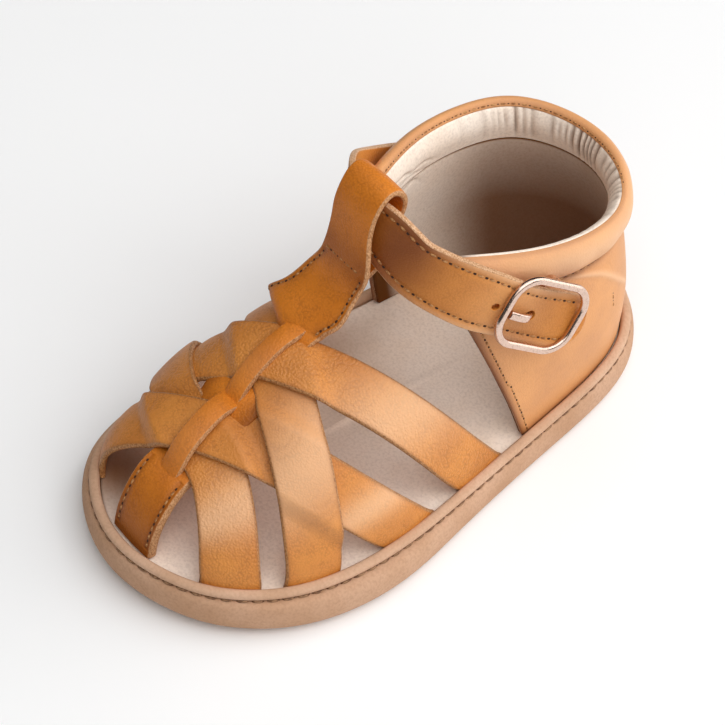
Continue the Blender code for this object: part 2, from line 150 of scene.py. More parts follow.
def eased(share):
    """A share from 0 to 1 with a soft start and end: three times its square less twice its cube."""
    return share**2 * (3 - 2 * share)


def toe_lift(y):
    """Height by which the sole leaves the ground: a parabola from the ball of the foot on."""
    return TOE_SPRING * np.clip((TOE_SPRING_FROM - y) / TOE_SPRING_LENGTH, 0, None) ** 2


def lip_line(count):
    """Closed spline through the lip table, counter-clockwise from the toe, and its outward normals."""
    outer = LIP_ROWS[:, [2, 0]]
    inner = LIP_ROWS[::-1, [1, 0]]
    once = np.vstack([[LIP_TOE], outer, [LIP_HEEL], inner])
    thrice = np.vstack([once, once, once])
    knots = np.r_[0.0, np.cumsum(np.linalg.norm(np.diff(thrice, axis=0), axis=1) ** 0.5)]
    at = np.linspace(knots[len(once)], knots[2 * len(once)], LIP_CURVE_STEPS)
    points = even(spline(knots, thrice, at), count + 1)[:-1]
    along = unit(np.roll(points, -1, axis=0) - np.roll(points, 1, axis=0))
    return points, np.stack([along[:, 1], -along[:, 0]], axis=1)


def sole_ring(outward, z):
    """Ring at a distance outside the lip line and a height, lifted at the toe."""
    points, normals = lip_line(RING_POINTS)
    ring = points + normals * np.broadcast_to(outward, RING_POINTS)[:, None]
    return np.column_stack([ring, z + toe_lift(ring[:, 1])])


def drawn_in(ring, share, z):
    """The ring scaled towards the sole's spine, a straight stretch along its middle."""
    spine = np.column_stack([np.full(len(ring), SPINE_X), np.clip(ring[:, 1], -SPINE_HALF, SPINE_HALF)])
    flat = spine + share * (ring[:, :2] - spine)
    return np.column_stack([flat, z + toe_lift(flat[:, 1])])


def bell(value, middle, half):
    """A smooth bump of height one, with its width given by half: e to minus the square."""
    return np.exp(-(((value - middle) / half) ** 2))


def arched(ring, weight=1.0):
    """Raises the inner side of the waist: a bell along the foot that grows towards the inner edge."""
    inner_side = ramp(ring[:, 0], ARCH_EDGE_X, ARCH_EDGE_X - ARCH_SPAN_X)
    rise = ARCH_HEIGHT * inner_side**2 * bell(ring[:, 1], ARCH_CENTRE, ARCH_LENGTH)
    return ring + np.column_stack([0 * rise, 0 * rise, weight * rise])


def put_mesh(name, grid, wrap_rows=False, marks=None):
    """Mesh of quads from grids of points in millimetres: blocks by rows by cells.

    Each point joins the next cell and the next row. The last cell joins the first, and so does the
    last row if rows wrap; if not, caps fill both. The volume's sign says which way to turn the faces.
    """
    grid = np.asarray(grid, float)
    blocks = grid if grid.ndim == 4 else grid[None]
    count, rows, cells = blocks.shape[:3]
    start = np.arange(count)[:, None, None] * rows * cells
    i = np.arange(rows if wrap_rows else rows - 1)[None, :, None]
    j = np.arange(cells)[None, None, :]
    below, above = start + i * cells, start + (i + 1) % rows * cells
    beside = (j + 1) % cells
    quads = np.stack(np.broadcast_arrays(below + j, below + beside, above + beside, above + j), axis=-1)
    quads = quads.reshape(-1, 4)
    points = (blocks.reshape(-1, 3) + CENTRING) * MM
    a, b, c, d = (points[quads[:, k]] for k in range(4))
    volume = np.sum(a * (np.cross(b, c) + np.cross(c, d)))
    faces = quads.tolist()
    smooth = [True] * len(faces)
    if not wrap_rows:
        first = (start[:, :, 0] + np.arange(cells)[::-1]).tolist()
        last = (start[:, :, 0] + (rows - 1) * cells + np.arange(cells)).tolist()
        faces += first + last
        smooth += [False] * (2 * count)
    if volume < 0:
        faces = [face[::-1] for face in faces]
    mesh = bpy.data.meshes.new(name)
    mesh.from_pydata(points.tolist(), [], faces)
    mesh.polygons.foreach_set("use_smooth", smooth)
    for mark, values in (marks or {}).items():
        spread = np.broadcast_to(values, blocks.shape[:3]).astype(np.float32)
        mesh.attributes.new(mark, "FLOAT", "POINT").data.foreach_set("value", spread.ravel())
    piece = bpy.data.objects.new(name, mesh)
    bpy.context.scene.collection.objects.link(piece)
    return piece


def tone(code):
    """Linear colour of a six-digit screen colour."""
    value = np.array([int(code[i : i + 2], 16) for i in (0, 2, 4)]) / 255
    linear = np.where(value <= 0.04045, value / 12.92, ((value + 0.055) / 1.055) ** 2.4)
    return (*linear.tolist(), 1.0)


def join(tree, value, socket):
    """Links an output to a socket, or sets the socket's value."""
    if isinstance(value, bpy.types.NodeSocket):
        tree.links.new(value, socket)
    else:
        socket.default_value = value


def add(tree, kind, inputs=None, **settings):
    """A shader node with its settings, and its inputs set or linked."""
    made = tree.nodes.new("ShaderNode" + kind)
    for key, value in settings.items():
        setattr(made, key, value)
    for key, value in (inputs or {}).items():
        join(tree, value, made.inputs[key])
    return made


def mix(tree, factor, first, second):
    """Colour between two colours by a factor."""
    made = tree.nodes.new("ShaderNodeMix")
    made.data_type = "RGBA"
    for index, value in ((0, factor), (6, first), (7, second)):
        join(tree, value, made.inputs[index])
    return made.outputs[2]


def ranged(tree, value, low, high, to_low=0.0, to_high=1.0):
    """A value carried from one range to another, and held at its ends."""
    inputs = {"Value": value, "From Min": low, "From Max": high, "To Min": to_low, "To Max": to_high}
    return add(tree, "MapRange", inputs).outputs["Result"]


def noise(tree, scale, detail=2.0, stretch=(1.0, 1.0, 1.0)):
    """Noise on object coordinates, in cells per metre."""
    place = add(tree, "TexCoord").outputs["Object"]
    place = add(tree, "Mapping", {"Vector": place, "Scale": stretch}).outputs["Vector"]
    return add(tree, "TexNoise", {"Vector": place, "Scale": scale, "Detail": detail}).outputs["Fac"]


def effect_group(name, inputs, outputs):
    """An empty node group with number sockets; returns its tree and its two end nodes."""
    tree = bpy.data.node_groups.new(name, "ShaderNodeTree")
    for socket, value in inputs.items():
        tree.interface.new_socket(socket, in_out="INPUT", socket_type="NodeSocketFloat").default_value = value
    for socket in outputs:
        tree.interface.new_socket(socket, in_out="OUTPUT", socket_type="NodeSocketFloat")
    return tree, tree.nodes.new("NodeGroupInput"), tree.nodes.new("NodeGroupOutput")


def nap_group():
    """Nap: fine fibres as height, scattered darker specks, and broad clouds where it is brushed."""
    tree, given, out = effect_group("brushed_nap", {"Specks": 0.5}, ("Height", "Specks", "Clouds"))
    fine = noise(tree, NAP_FIBRES, 3.0)
    coarse = noise(tree, NAP_SPECKS, 3.0)
    specks = ranged(tree, coarse, 0.42, 0.72)
    specks = add(tree, "Math", {0: specks, 1: given.outputs["Specks"]}, operation="MULTIPLY").outputs[0]
    height = add(tree, "Math", {0: fine, 1: coarse}, operation="ADD").outputs[0]
    tree.links.new(height, out.inputs["Height"])
    tree.links.new(specks, out.inputs["Specks"])
    tree.links.new(ranged(tree, noise(tree, NAP_CLOUDS, 3.0), 0.38, 0.64), out.inputs["Clouds"])
    return tree


def finish_material(name):
    """A new material with its tree and its main shader."""
    made = bpy.data.materials.new(name)
    made.use_nodes = True
    return made, made.node_tree, made.node_tree.nodes["Principled BSDF"]


def bumped(tree, height, strength, depth=RELIEF_DEPTH):
    """Normal from a height."""
    return add(tree, "Bump", {"Height": height, "Strength": strength, "Distance": depth}).outputs["Normal"]


brushed_nap = nap_group()


def napped(name, ground, speck, pale, specks, relief):
    """Matte napped finish: a ground colour, clouded with a paler one, speckled with a darker one."""
    made, tree, shader = finish_material(name)
    nap = add(tree, "Group", node_tree=brushed_nap)
    nap.inputs["Specks"].default_value = specks
    colour = mix(tree, nap.outputs["Clouds"], tone(ground), tone(pale))
    tree.links.new(mix(tree, nap.outputs["Specks"], colour, tone(speck)), shader.inputs["Base Color"])
    tree.links.new(bumped(tree, nap.outputs["Height"], relief), shader.inputs["Normal"])
    shader.inputs["Roughness"].default_value = 0.88
    shader.inputs["Specular IOR Level"].default_value = 0.25
    return made


lip, _ = lip_line(RING_POINTS)
bulge = spline(BULGE_ROWS[:, 0], BULGE_ROWS[:, 1:], lip[:, 1])[:, 0]
edge_ring = sole_ring(0.0, 0.0)
side_length = running_length(SIDE_ROWS * (MEAN_BULGE, 1.0))
side = spline(side_length, SIDE_ROWS, np.linspace(0, side_length[-1], SIDE_STEPS))
rings = [arched(drawn_in(edge_ring, share, 0.0)) for share in UNDERSIDE_SHARES]
rings += [arched(sole_ring(bulge * share, z), ramp(z, ARCH_FADE, 0.0)) for share, z in side]
rings += [sole_ring(RIM_EDGE, RIM_TOP), sole_ring(RIM_EDGE, SOLE_TOP)]
rings += [drawn_in(edge_ring, share, SOLE_TOP) for share in BED_SHARES]
outsole = put_mesh("outsole_cup", np.stack(rings))
outsole.data.materials.append(napped("taupe_nap", "BC9272", "9A7353", "C9A184", 0.32, 0.32))
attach(outsole, "root")
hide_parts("outsole")

# Lip: a thin paler band of the same napped rubber, standing round the top edge of the sole.
# It holds the strap ends and the heel wall, and is stitched down along the groove below it.

# Section of the lip: outward from the lip line, height.
LIP_SECTION = np.array([
    (0.0, 8.7),
    (1.2, 8.6),
    (1.8, 8.8),
    (2.1, 9.4),
    (1.8, 10.1),
    (1.2, 10.4),
    (0.4, 10.4),
    (0.0, 10.0),
])
LIP_SIDES = 36
CURVE_STEPS = 400


def closed_spline(rows, count):
    """Closed spline through the rows, as points spaced evenly along it."""
    thrice = np.vstack([rows, rows, rows])
    knots = running_length(thrice)
    at = np.linspace(knots[len(rows)], knots[2 * len(rows)], CURVE_STEPS)
    return even(spline(knots, thrice, at), count + 1)[:-1]


section = closed_spline(LIP_SECTION, LIP_SIDES)
lip_rings = np.stack([sole_ring(out, z) for out, z in section], axis=1)
lip_band = put_mesh("lip_band", lip_rings, wrap_rows=True)
lip_band.data.materials.append(napped("lip_nap", "C69E80", "A67F60", "D0AA8E", 0.3, 0.32))
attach(lip_band, "root")
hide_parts("welt")

# Lip stitching: one row of saddle stitches in waxed brown thread, all round the sandal.
# It is sunk in the groove between the lip and the sole, and holds the lip down.

LIP_STITCH = {"pitch": 3.1, "length": 2.5, "radius": 0.3, "sink": 0.3}
STITCH_RINGS = 7
STITCH_SIDES = 6
STITCH_TAPER = 0.55
GROOVE_OUT = 2.0
GROOVE_HEIGHT = 8.6
THREAD_STRANDS = 1500.0
THREAD_SLANT = (1.0, 0.4, 1.6)


def stitch_row(path, normals, pitch, length, radius, sink, lift=0.0, skip=0.0):
    """A row of stitches along a path, as blocks of rings.

    Each stitch is a tube whose middle follows the path for its length. It sinks as a parabola
    and thins as a fourth power towards both ends, where the thread enters its holes.
    """
    along = running_length(path)
    middles = np.arange(skip + pitch / 2, along[-1] - max(skip, length / 2), pitch)
    t = np.linspace(-1, 1, STITCH_RINGS)
    at = np.clip(middles[:, None] + t * length / 2, 0, along[-1])
    place = read_off(at, along, path)
    up = unit(read_off(at, along, normals))
    run = unit(np.gradient(place, axis=1))
    side = unit(np.cross(run, up))
    up = np.cross(side, run)
    turn = np.linspace(0, 2 * np.pi, STITCH_SIDES, endpoint=False)[:, None]
    ring = np.cos(turn) * side[:, :, None] + np.sin(turn) * up[:, :, None]
    thin = (1 - STITCH_TAPER * t**4)[:, None, None]
    middle = place + up * (lift - sink * t**2)[:, None]
    return middle[:, :, None] + radius * thin * ring


def thread(name, dark, light):
    """Twisted thread: light and dark strands in fine slanted bands."""
    made, tree, shader = finish_material(name)
    strands = noise(tree, THREAD_STRANDS, 1.0, THREAD_SLANT)
    colour = mix(tree, ranged(tree, strands, 0.4, 0.6), tone(dark), tone(light))
    tree.links.new(colour, shader.inputs["Base Color"])
    tree.links.new(bumped(tree, strands, 0.5), shader.inputs["Normal"])
    shader.inputs["Roughness"].default_value = 0.7
    return made


def sew(name, rows, finish):
    """Puts in one piece of stitching, or of needle holes, from its rows."""
    piece = put_mesh(name, np.concatenate(rows))
    piece.data.materials.append(finish)
    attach(piece, "root")


groove = sole_ring(GROOVE_OUT, GROOVE_HEIGHT)
groove = np.vstack([groove, groove[:1]])
_, lip_normals = lip_line(RING_POINTS)
groove_up = np.column_stack([lip_normals, np.full(RING_POINTS, 1.0)])
groove_up = unit(np.vstack([groove_up, groove_up[:1]]))
brown_thread = thread("brown_thread", "6E4A30", "9C7654")
sew("lip_stitches", [stitch_row(groove, groove_up, **LIP_STITCH)], brown_thread)

# Insole: a thin sock of pale lining leather, dished a little under the foot.
# It is glued to the sole inside the lip, and has painted shade in patches where the straps and walls shadow
# it.

INSOLE_TOP = 8.7
FIT_GAP = 0.3
DISH = 0.45
LINING_SPECKS = 0.18
# Rounded edge: inward, below the top.
INSOLE_EDGE = ((0.0, 0.8), (0.0, 0.25), (0.15, 0.08), (0.6, 0.0))
INSOLE_LOW_SHARES = (0.1, 0.6)
INSOLE_TOP_SHARES = np.linspace(0.92, 0.06, 14)
# Patches of painted shade on the insole: x, y, half width, half length, strength.
SHADE_PATCHES = (
    (-6.0, -4.0, 13.0, 14.0, 0.45),
    (-21.0, 4.0, 8.0, 16.0, 0.5),
    (-20.0, -55.0, 12.0, 11.0, 0.95),
)

inner_edge = sole_ring(-FIT_GAP, 0.0)
low = SOLE_TOP + FIT_GAP
rings = [drawn_in(inner_edge, share, low) for share in INSOLE_LOW_SHARES]
rings += [sole_ring(-FIT_GAP, low)]
rings += [sole_ring(-FIT_GAP - inward, INSOLE_TOP - below) for inward, below in INSOLE_EDGE]
rings += [drawn_in(inner_edge, share, INSOLE_TOP - DISH * (1 - share**2)) for share in INSOLE_TOP_SHARES]
rings = np.stack(rings)
# Painted shade: the insole is darkened in these patches, where the T-bar, the straps and the walls shadow it.
wear_and_shade = 0.0
for x, y, wide, long, strength in SHADE_PATCHES:
    wear_and_shade = wear_and_shade + strength * bell(rings[..., 0], x, wide) * bell(rings[..., 1], y, long)
insole = put_mesh("insole_sock", rings, marks={"deep": wear_and_shade})


def marked(tree, mark):
    """A mark of the mesh as a factor."""
    return add(tree, "Attribute", attribute_name=mark).outputs["Fac"]


def lining_leather(name, ground, deep, pale, relief):
    """Thin matte lining leather: pale, faintly clouded, with a fine close grain."""
    made, tree, shader = finish_material(name)
    nap = add(tree, "Group", node_tree=brushed_nap)
    nap.inputs["Specks"].default_value = LINING_SPECKS
    colour = mix(tree, nap.outputs["Clouds"], tone(ground), tone(pale))
    # The deep mark paints shade on the insole and the lining.
    colour = mix(tree, marked(tree, "deep"), colour, tone(deep))
    tree.links.new(mix(tree, nap.outputs["Specks"], colour, tone(deep)), shader.inputs["Base Color"])
    tree.links.new(bumped(tree, nap.outputs["Height"], relief), shader.inputs["Normal"])
    shader.inputs["Roughness"].default_value = 0.8
    shader.inputs["Specular IOR Level"].default_value = 0.12
    return made


insole.data.materials.append(lining_leather("insole_leather", "FAE5D2", "7A5030", "FEEDDE", 0.15))
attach(insole, "root")
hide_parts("insole")

# Vamp straps: four bands of tan full-grain leather with raw cut edges, woven over and under each other.
# Their ends are tucked inside the lip, and they cross on the ridge of the foot and once on each side.

FINE_POINTS = 1200
STRAP_THICK = 1.3
STRAP_INNER = 0.4
STRAP_LIFT = 2.0
STRAP_SOFT = 4.0
STRAP_WIDTH = 11.4
STRAP_STEPS = 260
STRAP_CELL = 0.3
STRAP_PITS = 0.32
STRAP_RAW = ("BE8C5A", "7E4E26")
STRAP_FOOT = INSOLE_TOP + FIT_GAP
STRAP_SIDE_GAP = 0.2
STRAP_CROWN = 0.35
STRETCH_TO = 0.86
STEEP_AT = 0.97
TOP_POWER = 1.1
LEATHER_THICK = 1.6
PUFF_HALF = 0.25
HELD_HALF = 0.13
# Patterns of the grain, in cells per metre, and how far the pebbles wander, in metres.
HIDE_FINE = 3200.0
HIDE_PATCHES = 320.0
HIDE_CLOUDS = 85.0
HIDE_FIBRES = 3400.0
WANDER_CELLS = 900.0
PEBBLE_WANDER = 0.0005
# Colours of the leather: in its pits, where it is burnished and where shade is painted, and where it is
# rubbed and where a highlight is painted.
HIDE_DARK = "76390E"
HIDE_RUBBED_AND_HIGHLIGHT = "EEC096"
# Ridge of the vamp: y, x, z of the under side.
RIDGE_ROWS = np.array([
    (-64.0, -3.0, 12.0),
    (-61.5, -3.2, 16.6),
    (-57.5, -3.8, 20.6),
    (-51.0, -4.8, 24.2),
    (-44.0, -5.6, 27.2),
    (-35.0, -6.0, 32.0),
    (-27.0, -6.0, 36.2),
    (-19.0, -5.6, 38.6),
    (-10.0, -5.0, 39.6),
    (0.0, -4.0, 39.8),
    (16.0, -3.0, 39.8),
])
# Middle line of each strap: s across the foot, y.
STRAP_LINES = {
    "rear_outer_strap": (
        (-1.0, -42.0), (-0.5, -35.2), (0.0, -25.2), (0.5, -11.4), (1.0, 3.8),
    ),
    "rear_inner_strap": (
        (-1.0, 3.5), (-0.5, -12.5), (0.0, -25.0), (0.4, -33.4), (0.7, -38.0), (1.0, -40.2),
    ),
    "front_outer_strap": (
        (-1.0, -52.8), (-0.6, -50.6), (-0.3, -47.6), (0.0, -43.2), (0.2, -38.9), (0.6, -29.6),
        (1.0, -17.2),
    ),
    "front_inner_strap": (
        (-1.0, -22.0), (-0.5, -36.8), (-0.2, -43.0), (0.0, -45.0), (0.15, -45.9), (0.35, -48.7),
        (0.7, -52.8), (1.0, -53.8),
    ),
}
# Strap, the strap that it lies over, its pebbles per metre, their relief, where its painted highlight lies
# and how widely, where it puffs up on the inner side and by how much, and how far the strip holds it down.
STRAP_ROWS = (
    ("rear_outer_strap", "rear_inner_strap", 1900.0, 0.6, 0.48, 0.17, -0.35, 0.9, 0.2),
    ("rear_inner_strap", "front_outer_strap", 2300.0, 0.22, 0.42, 0.2, -0.5, 0.0, 0.0),
    ("front_outer_strap", "front_inner_strap", 2200.0, 0.3, 0.72, 0.08, -0.6, 0.9, 0.6),
    ("front_inner_strap", "rear_outer_strap", 2000.0, 0.5, 0.4, 0.14, -0.5, 0.0, 0.0),
)
# Wrinkles where a strap has been bent: strap, s, millimetres across, first radius, their number and depth.
# Their troughs get painted shade.
WRINKLES = (
    ("rear_inner_strap", 0.50, 2.5, 3.0, 3, 0.07),
    ("rear_inner_strap", 0.20, -2.0, 4.0, 2, 0.05),
    ("rear_outer_strap", 0.08, 2.0, 4.0, 2, 0.06),
    ("front_inner_strap", 0.28, 1.0, 4.0, 2, 0.05),
    ("front_outer_strap", -0.48, 0.0, 4.0, 3, 0.08),
)
WRINKLE_PITCH = 1.15
WRINKLE_HALF = 0.34
WRINKLE_ARC = 0.45
HALF_VAMP = 36.0

ridge_length = running_length(RIDGE_ROWS)
ridge = spline(ridge_length, RIDGE_ROWS, np.linspace(0, ridge_length[-1], CURVE_STEPS))
foot_points, foot_normals = lip_line(FINE_POINTS)
foot_line = foot_points - foot_normals * (LEATHER_THICK + STRAP_SIDE_GAP)
foot_line = np.roll(foot_line, -np.argmin(foot_line[:, 1]), axis=0)
heel_at = np.argmax(foot_line[:, 1])
outer_foot = foot_line[: heel_at + 1]
inner_foot = np.vstack([foot_line[heel_at:], foot_line[:1]])[::-1]


def vamp(y, s):
    """Under side of the vamp: each half section is nearly a quarter oval, from the ridge to the foot line.

    s runs from -1 at the inner foot line over 0 on the ridge to 1 at the outer foot line.
    Sideways it goes as the sine of the turn, and its height as a power of the cosine.
    """
    ridge_x = np.interp(y, ridge[:, 0], ridge[:, 1])
    ridge_z = np.interp(y, ridge[:, 0], ridge[:, 2])
    outer_x = np.interp(y, outer_foot[:, 1], outer_foot[:, 0])
    inner_x = np.interp(y, inner_foot[:, 1], inner_foot[:, 0])
    foot_x = np.where(s > 0, outer_x, inner_x)
    foot_z = STRAP_FOOT + toe_lift(y)
    turn = np.clip(np.abs(s), 0, 1) * np.pi / 2
    x = ridge_x + (foot_x - ridge_x) * np.sin(turn)
    z = foot_z + (ridge_z - foot_z) * np.clip(np.cos(turn), 0, 1) ** TOP_POWER
    return np.stack([x, y + 0 * x, z], axis=-1)


def vamp_frame(y, s):
    """Outward normals of the vamp and its two directions, from small steps along and across it."""
    step = 0.02
    inside = np.clip(s, -STEEP_AT, STEEP_AT)
    along = (vamp(y + step, inside) - vamp(y - step, inside)) / (2 * step)
    across = (vamp(y, inside + step) - vamp(y, inside - step)) / (2 * step)
    return unit(np.cross(across, along)), along, across


def band_section(half_width, thick, step, rounding=0.42):
    """Closed outline of a leather band seen along it: across, height, and marks on its cut sides and top.

    Under side and top are flat, and each side is rounded by a quarter circle at both edges.
    """
    r = rounding * thick
    flat = np.linspace(-(half_width - r), half_width - r, int(2 * half_width / step) + 1)
    turn = np.linspace(0, np.pi / 2, 5)
    low_across, low_height = half_width - r + r * np.sin(turn[1:]), r - r * np.cos(turn[1:])
    high_across, high_height = half_width - r + r * np.cos(turn[:-1]), thick - r + r * np.sin(turn[:-1])
    side_across = np.r_[low_across, high_across]
    side_height = np.r_[low_height, high_height]
    across = np.r_[flat, side_across, flat[::-1], -side_across[::-1]]
    height = np.r_[0 * flat, side_height, 0 * flat + thick, side_height[::-1]]
    cut = np.r_[0 * flat, 0 * side_across + 1, 0 * flat, 0 * side_across + 1]
    return across, height, cut, np.clip(height / thick, 0, 1)


def grain_group():
    """Leather grain: pebbles as height, dark pits between them, broad clouds, and a cut edge's fibres."""
    inputs = {"Pebbles": 1100.0, "Pits": 0.5}
    tree, given, out = effect_group("hide_grain", inputs, ("Height", "Pits", "Clouds", "Fibres"))
    place = add(tree, "TexCoord").outputs["Object"]
    wander = add(tree, "TexNoise", {"Vector": place, "Scale": WANDER_CELLS, "Detail": 1.0}).outputs["Color"]
    moved = {0: wander, 1: (PEBBLE_WANDER, PEBBLE_WANDER, PEBBLE_WANDER), 2: place}
    place = add(tree, "VectorMath", moved, operation="MULTIPLY_ADD").outputs[0]
    cells = {"Vector": place, "Scale": given.outputs["Pebbles"], "Smoothness": 0.35}
    pebble = add(tree, "TexVoronoi", cells, feature="SMOOTH_F1").outputs["Distance"]
    fine = noise(tree, HIDE_FINE, 2.0)
    patchy = ranged(tree, noise(tree, HIDE_PATCHES, 2.0), 0.36, 0.62, 0.25, 1.0)
    pits = ranged(tree, pebble, 0.3, 0.8)
    pits = add(tree, "Math", {0: pits, 1: patchy}, operation="MULTIPLY").outputs[0]
    strength = add(tree, "Math", {0: pits, 1: given.outputs["Pits"]}, operation="MULTIPLY").outputs[0]
    height = ranged(tree, pebble, 0.1, 0.75, 1.0, 0.0)
    height = add(tree, "Math", {0: fine, 1: 0.35, 2: height}, operation="MULTIPLY_ADD").outputs[0]
    tree.links.new(height, out.inputs["Height"])
    tree.links.new(strength, out.inputs["Pits"])
    tree.links.new(ranged(tree, noise(tree, HIDE_CLOUDS, 4.0), 0.36, 0.66), out.inputs["Clouds"])
    fibres = noise(tree, HIDE_FIBRES, 3.0, (1.0, 1.0, 0.5))
    tree.links.new(ranged(tree, fibres, 0.35, 0.65), out.inputs["Fibres"])
    return tree


hide_grain = grain_group()


def leather(name, pebbles, pits, relief, hide=("D68A3C", "B46A28"), raw=("DDB48E", "A8764A"), gloss=0.45):
    """Full-grain leather, clouded and darker in its pits; marks paint highlights and shade on it, rub it,
    burnish it, or bare a cut edge.
    """
    made, tree, shader = finish_material(name)
    grain = add(tree, "Group", node_tree=hide_grain)
    grain.inputs["Pebbles"].default_value = pebbles
    grain.inputs["Pits"].default_value = pits
    clouds = ranged(tree, grain.outputs["Clouds"], 0.0, 1.0, 0.0, 0.55)
    colour = mix(tree, clouds, tone(hide[0]), tone(hide[1]))
    colour = mix(tree, grain.outputs["Pits"], colour, tone(HIDE_DARK))
    # The pale mark adds rubbing and painted highlights; the deep mark adds burnish and painted shade.
    colour = mix(tree, marked(tree, "pale"), colour, tone(HIDE_RUBBED_AND_HIGHLIGHT))
    colour = mix(tree, marked(tree, "deep"), colour, tone(HIDE_DARK))
    bared = mix(tree, grain.outputs["Fibres"], tone(raw[0]), tone(raw[1]))
    tree.links.new(mix(tree, marked(tree, "cut"), colour, bared), shader.inputs["Base Color"])
    rough = ranged(tree, grain.outputs["Pits"], 0.0, 1.0, 0.48, 0.73)
    tree.links.new(rough, shader.inputs["Roughness"])
    tree.links.new(bumped(tree, grain.outputs["Height"], relief), shader.inputs["Normal"])
    shader.inputs["Specular IOR Level"].default_value = gloss
    return made


def strap_line(name, s):
    """Middle line of a strap, a spline in y over the vamp, and its width per millimetre of y there."""
    rows = np.array(STRAP_LINES[name])
    step = 0.01
    before, middle, after = (spline(rows[:, 0], rows[:, 1:], s + k * step)[:, 0] for k in (-1, 0, 1))
    _, along, sideways = vamp_frame(middle, s)
    path = unit(sideways + along * ((after - before) / (2 * step))[:, None])
    return middle, np.linalg.norm(along - np.sum(along * path, axis=1, keepdims=True) * path, axis=1)


def wrinkled(name, along, across):
    """Depth of the strap's wrinkles: arcs of soft troughs round a point on it, fading out to both sides."""
    depth = 0 * along
    for strap_name, at, beside, radius, count, deep in WRINKLES:
        if strap_name == name:
            run = (along - at) * HALF_VAMP
            away = np.hypot(run, across - beside)
            for k in range(count):
                ring = radius + k * WRINKLE_PITCH
                depth += deep * bell(away, ring, WRINKLE_HALF) * bell(run, ring, WRINKLE_ARC * ring)
    return depth


across, height, cut, top = band_section(STRAP_WIDTH / 2, STRAP_THICK, STRAP_CELL)
s = np.linspace(-1, 1, STRAP_STEPS)
crown = STRAP_CROWN * (1 - (across / (STRAP_WIDTH / 2)) ** 2)
for name, under, pebbles, relief, highlight_at, highlight_half, puff_at, puff, held in STRAP_ROWS:
    middle, _ = strap_line(name, s)
    _, stretch = strap_line(name, np.clip(s, -STRETCH_TO, STRETCH_TO))
    y = middle[:, None] + across / stretch[:, None]
    s_grid = np.broadcast_to(s[:, None], y.shape)
    under_middle, under_stretch = strap_line(under, s)
    beyond = np.abs(y - under_middle[:, None]) * under_stretch[:, None] - STRAP_WIDTH / 2
    rise = STRAP_LIFT * eased(ramp(beyond, STRAP_SOFT, 0.0))
    rise = rise + puff * bell(s_grid, puff_at, PUFF_HALF) - held * bell(s_grid, 0.0, HELD_HALF)
    creased = wrinkled(name, s_grid, np.broadcast_to(across, y.shape)) * top
    normal, _, _ = vamp_frame(y, s_grid)
    grid = vamp(y, s_grid) + normal * (rise + STRAP_INNER + height + crown - creased)[..., None]
    # Painted highlight: a paler band across the strap's top, where light would glint on it.
    pale = 0.6 * bell(s_grid, highlight_at, highlight_half) * top
    edge_worn = 0.35 * bell(STRAP_WIDTH / 2 - np.abs(across), 0.3, 0.45) * top
    # Painted shade: the wrinkles' troughs are darkened, added to the darker edges.
    strap = put_mesh(name, grid, marks={"cut": 0.85 * cut, "pale": pale, "deep": edge_worn + 1.2 * creased})
    strap.data.materials.append(leather(name + "_hide", pebbles, STRAP_PITS, relief, raw=STRAP_RAW))
    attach(strap, "root")
    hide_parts("vamp_straps")

# Centre strip: one band of the same leather with slits, so that the straps pass under two narrow bridges.
# It is doubled and stitched at the toe and up the T-bar, whose top folds into a loop for the ankle strap.

STRIP_TOP = 1.55
STRIP_STEPS = 220
STRIP_HALF = 6.0
STRIP_CELL = 0.5
# Half widths go straight from row to row, averaged over this many steps to each side.
WIDTH_REACH = 4
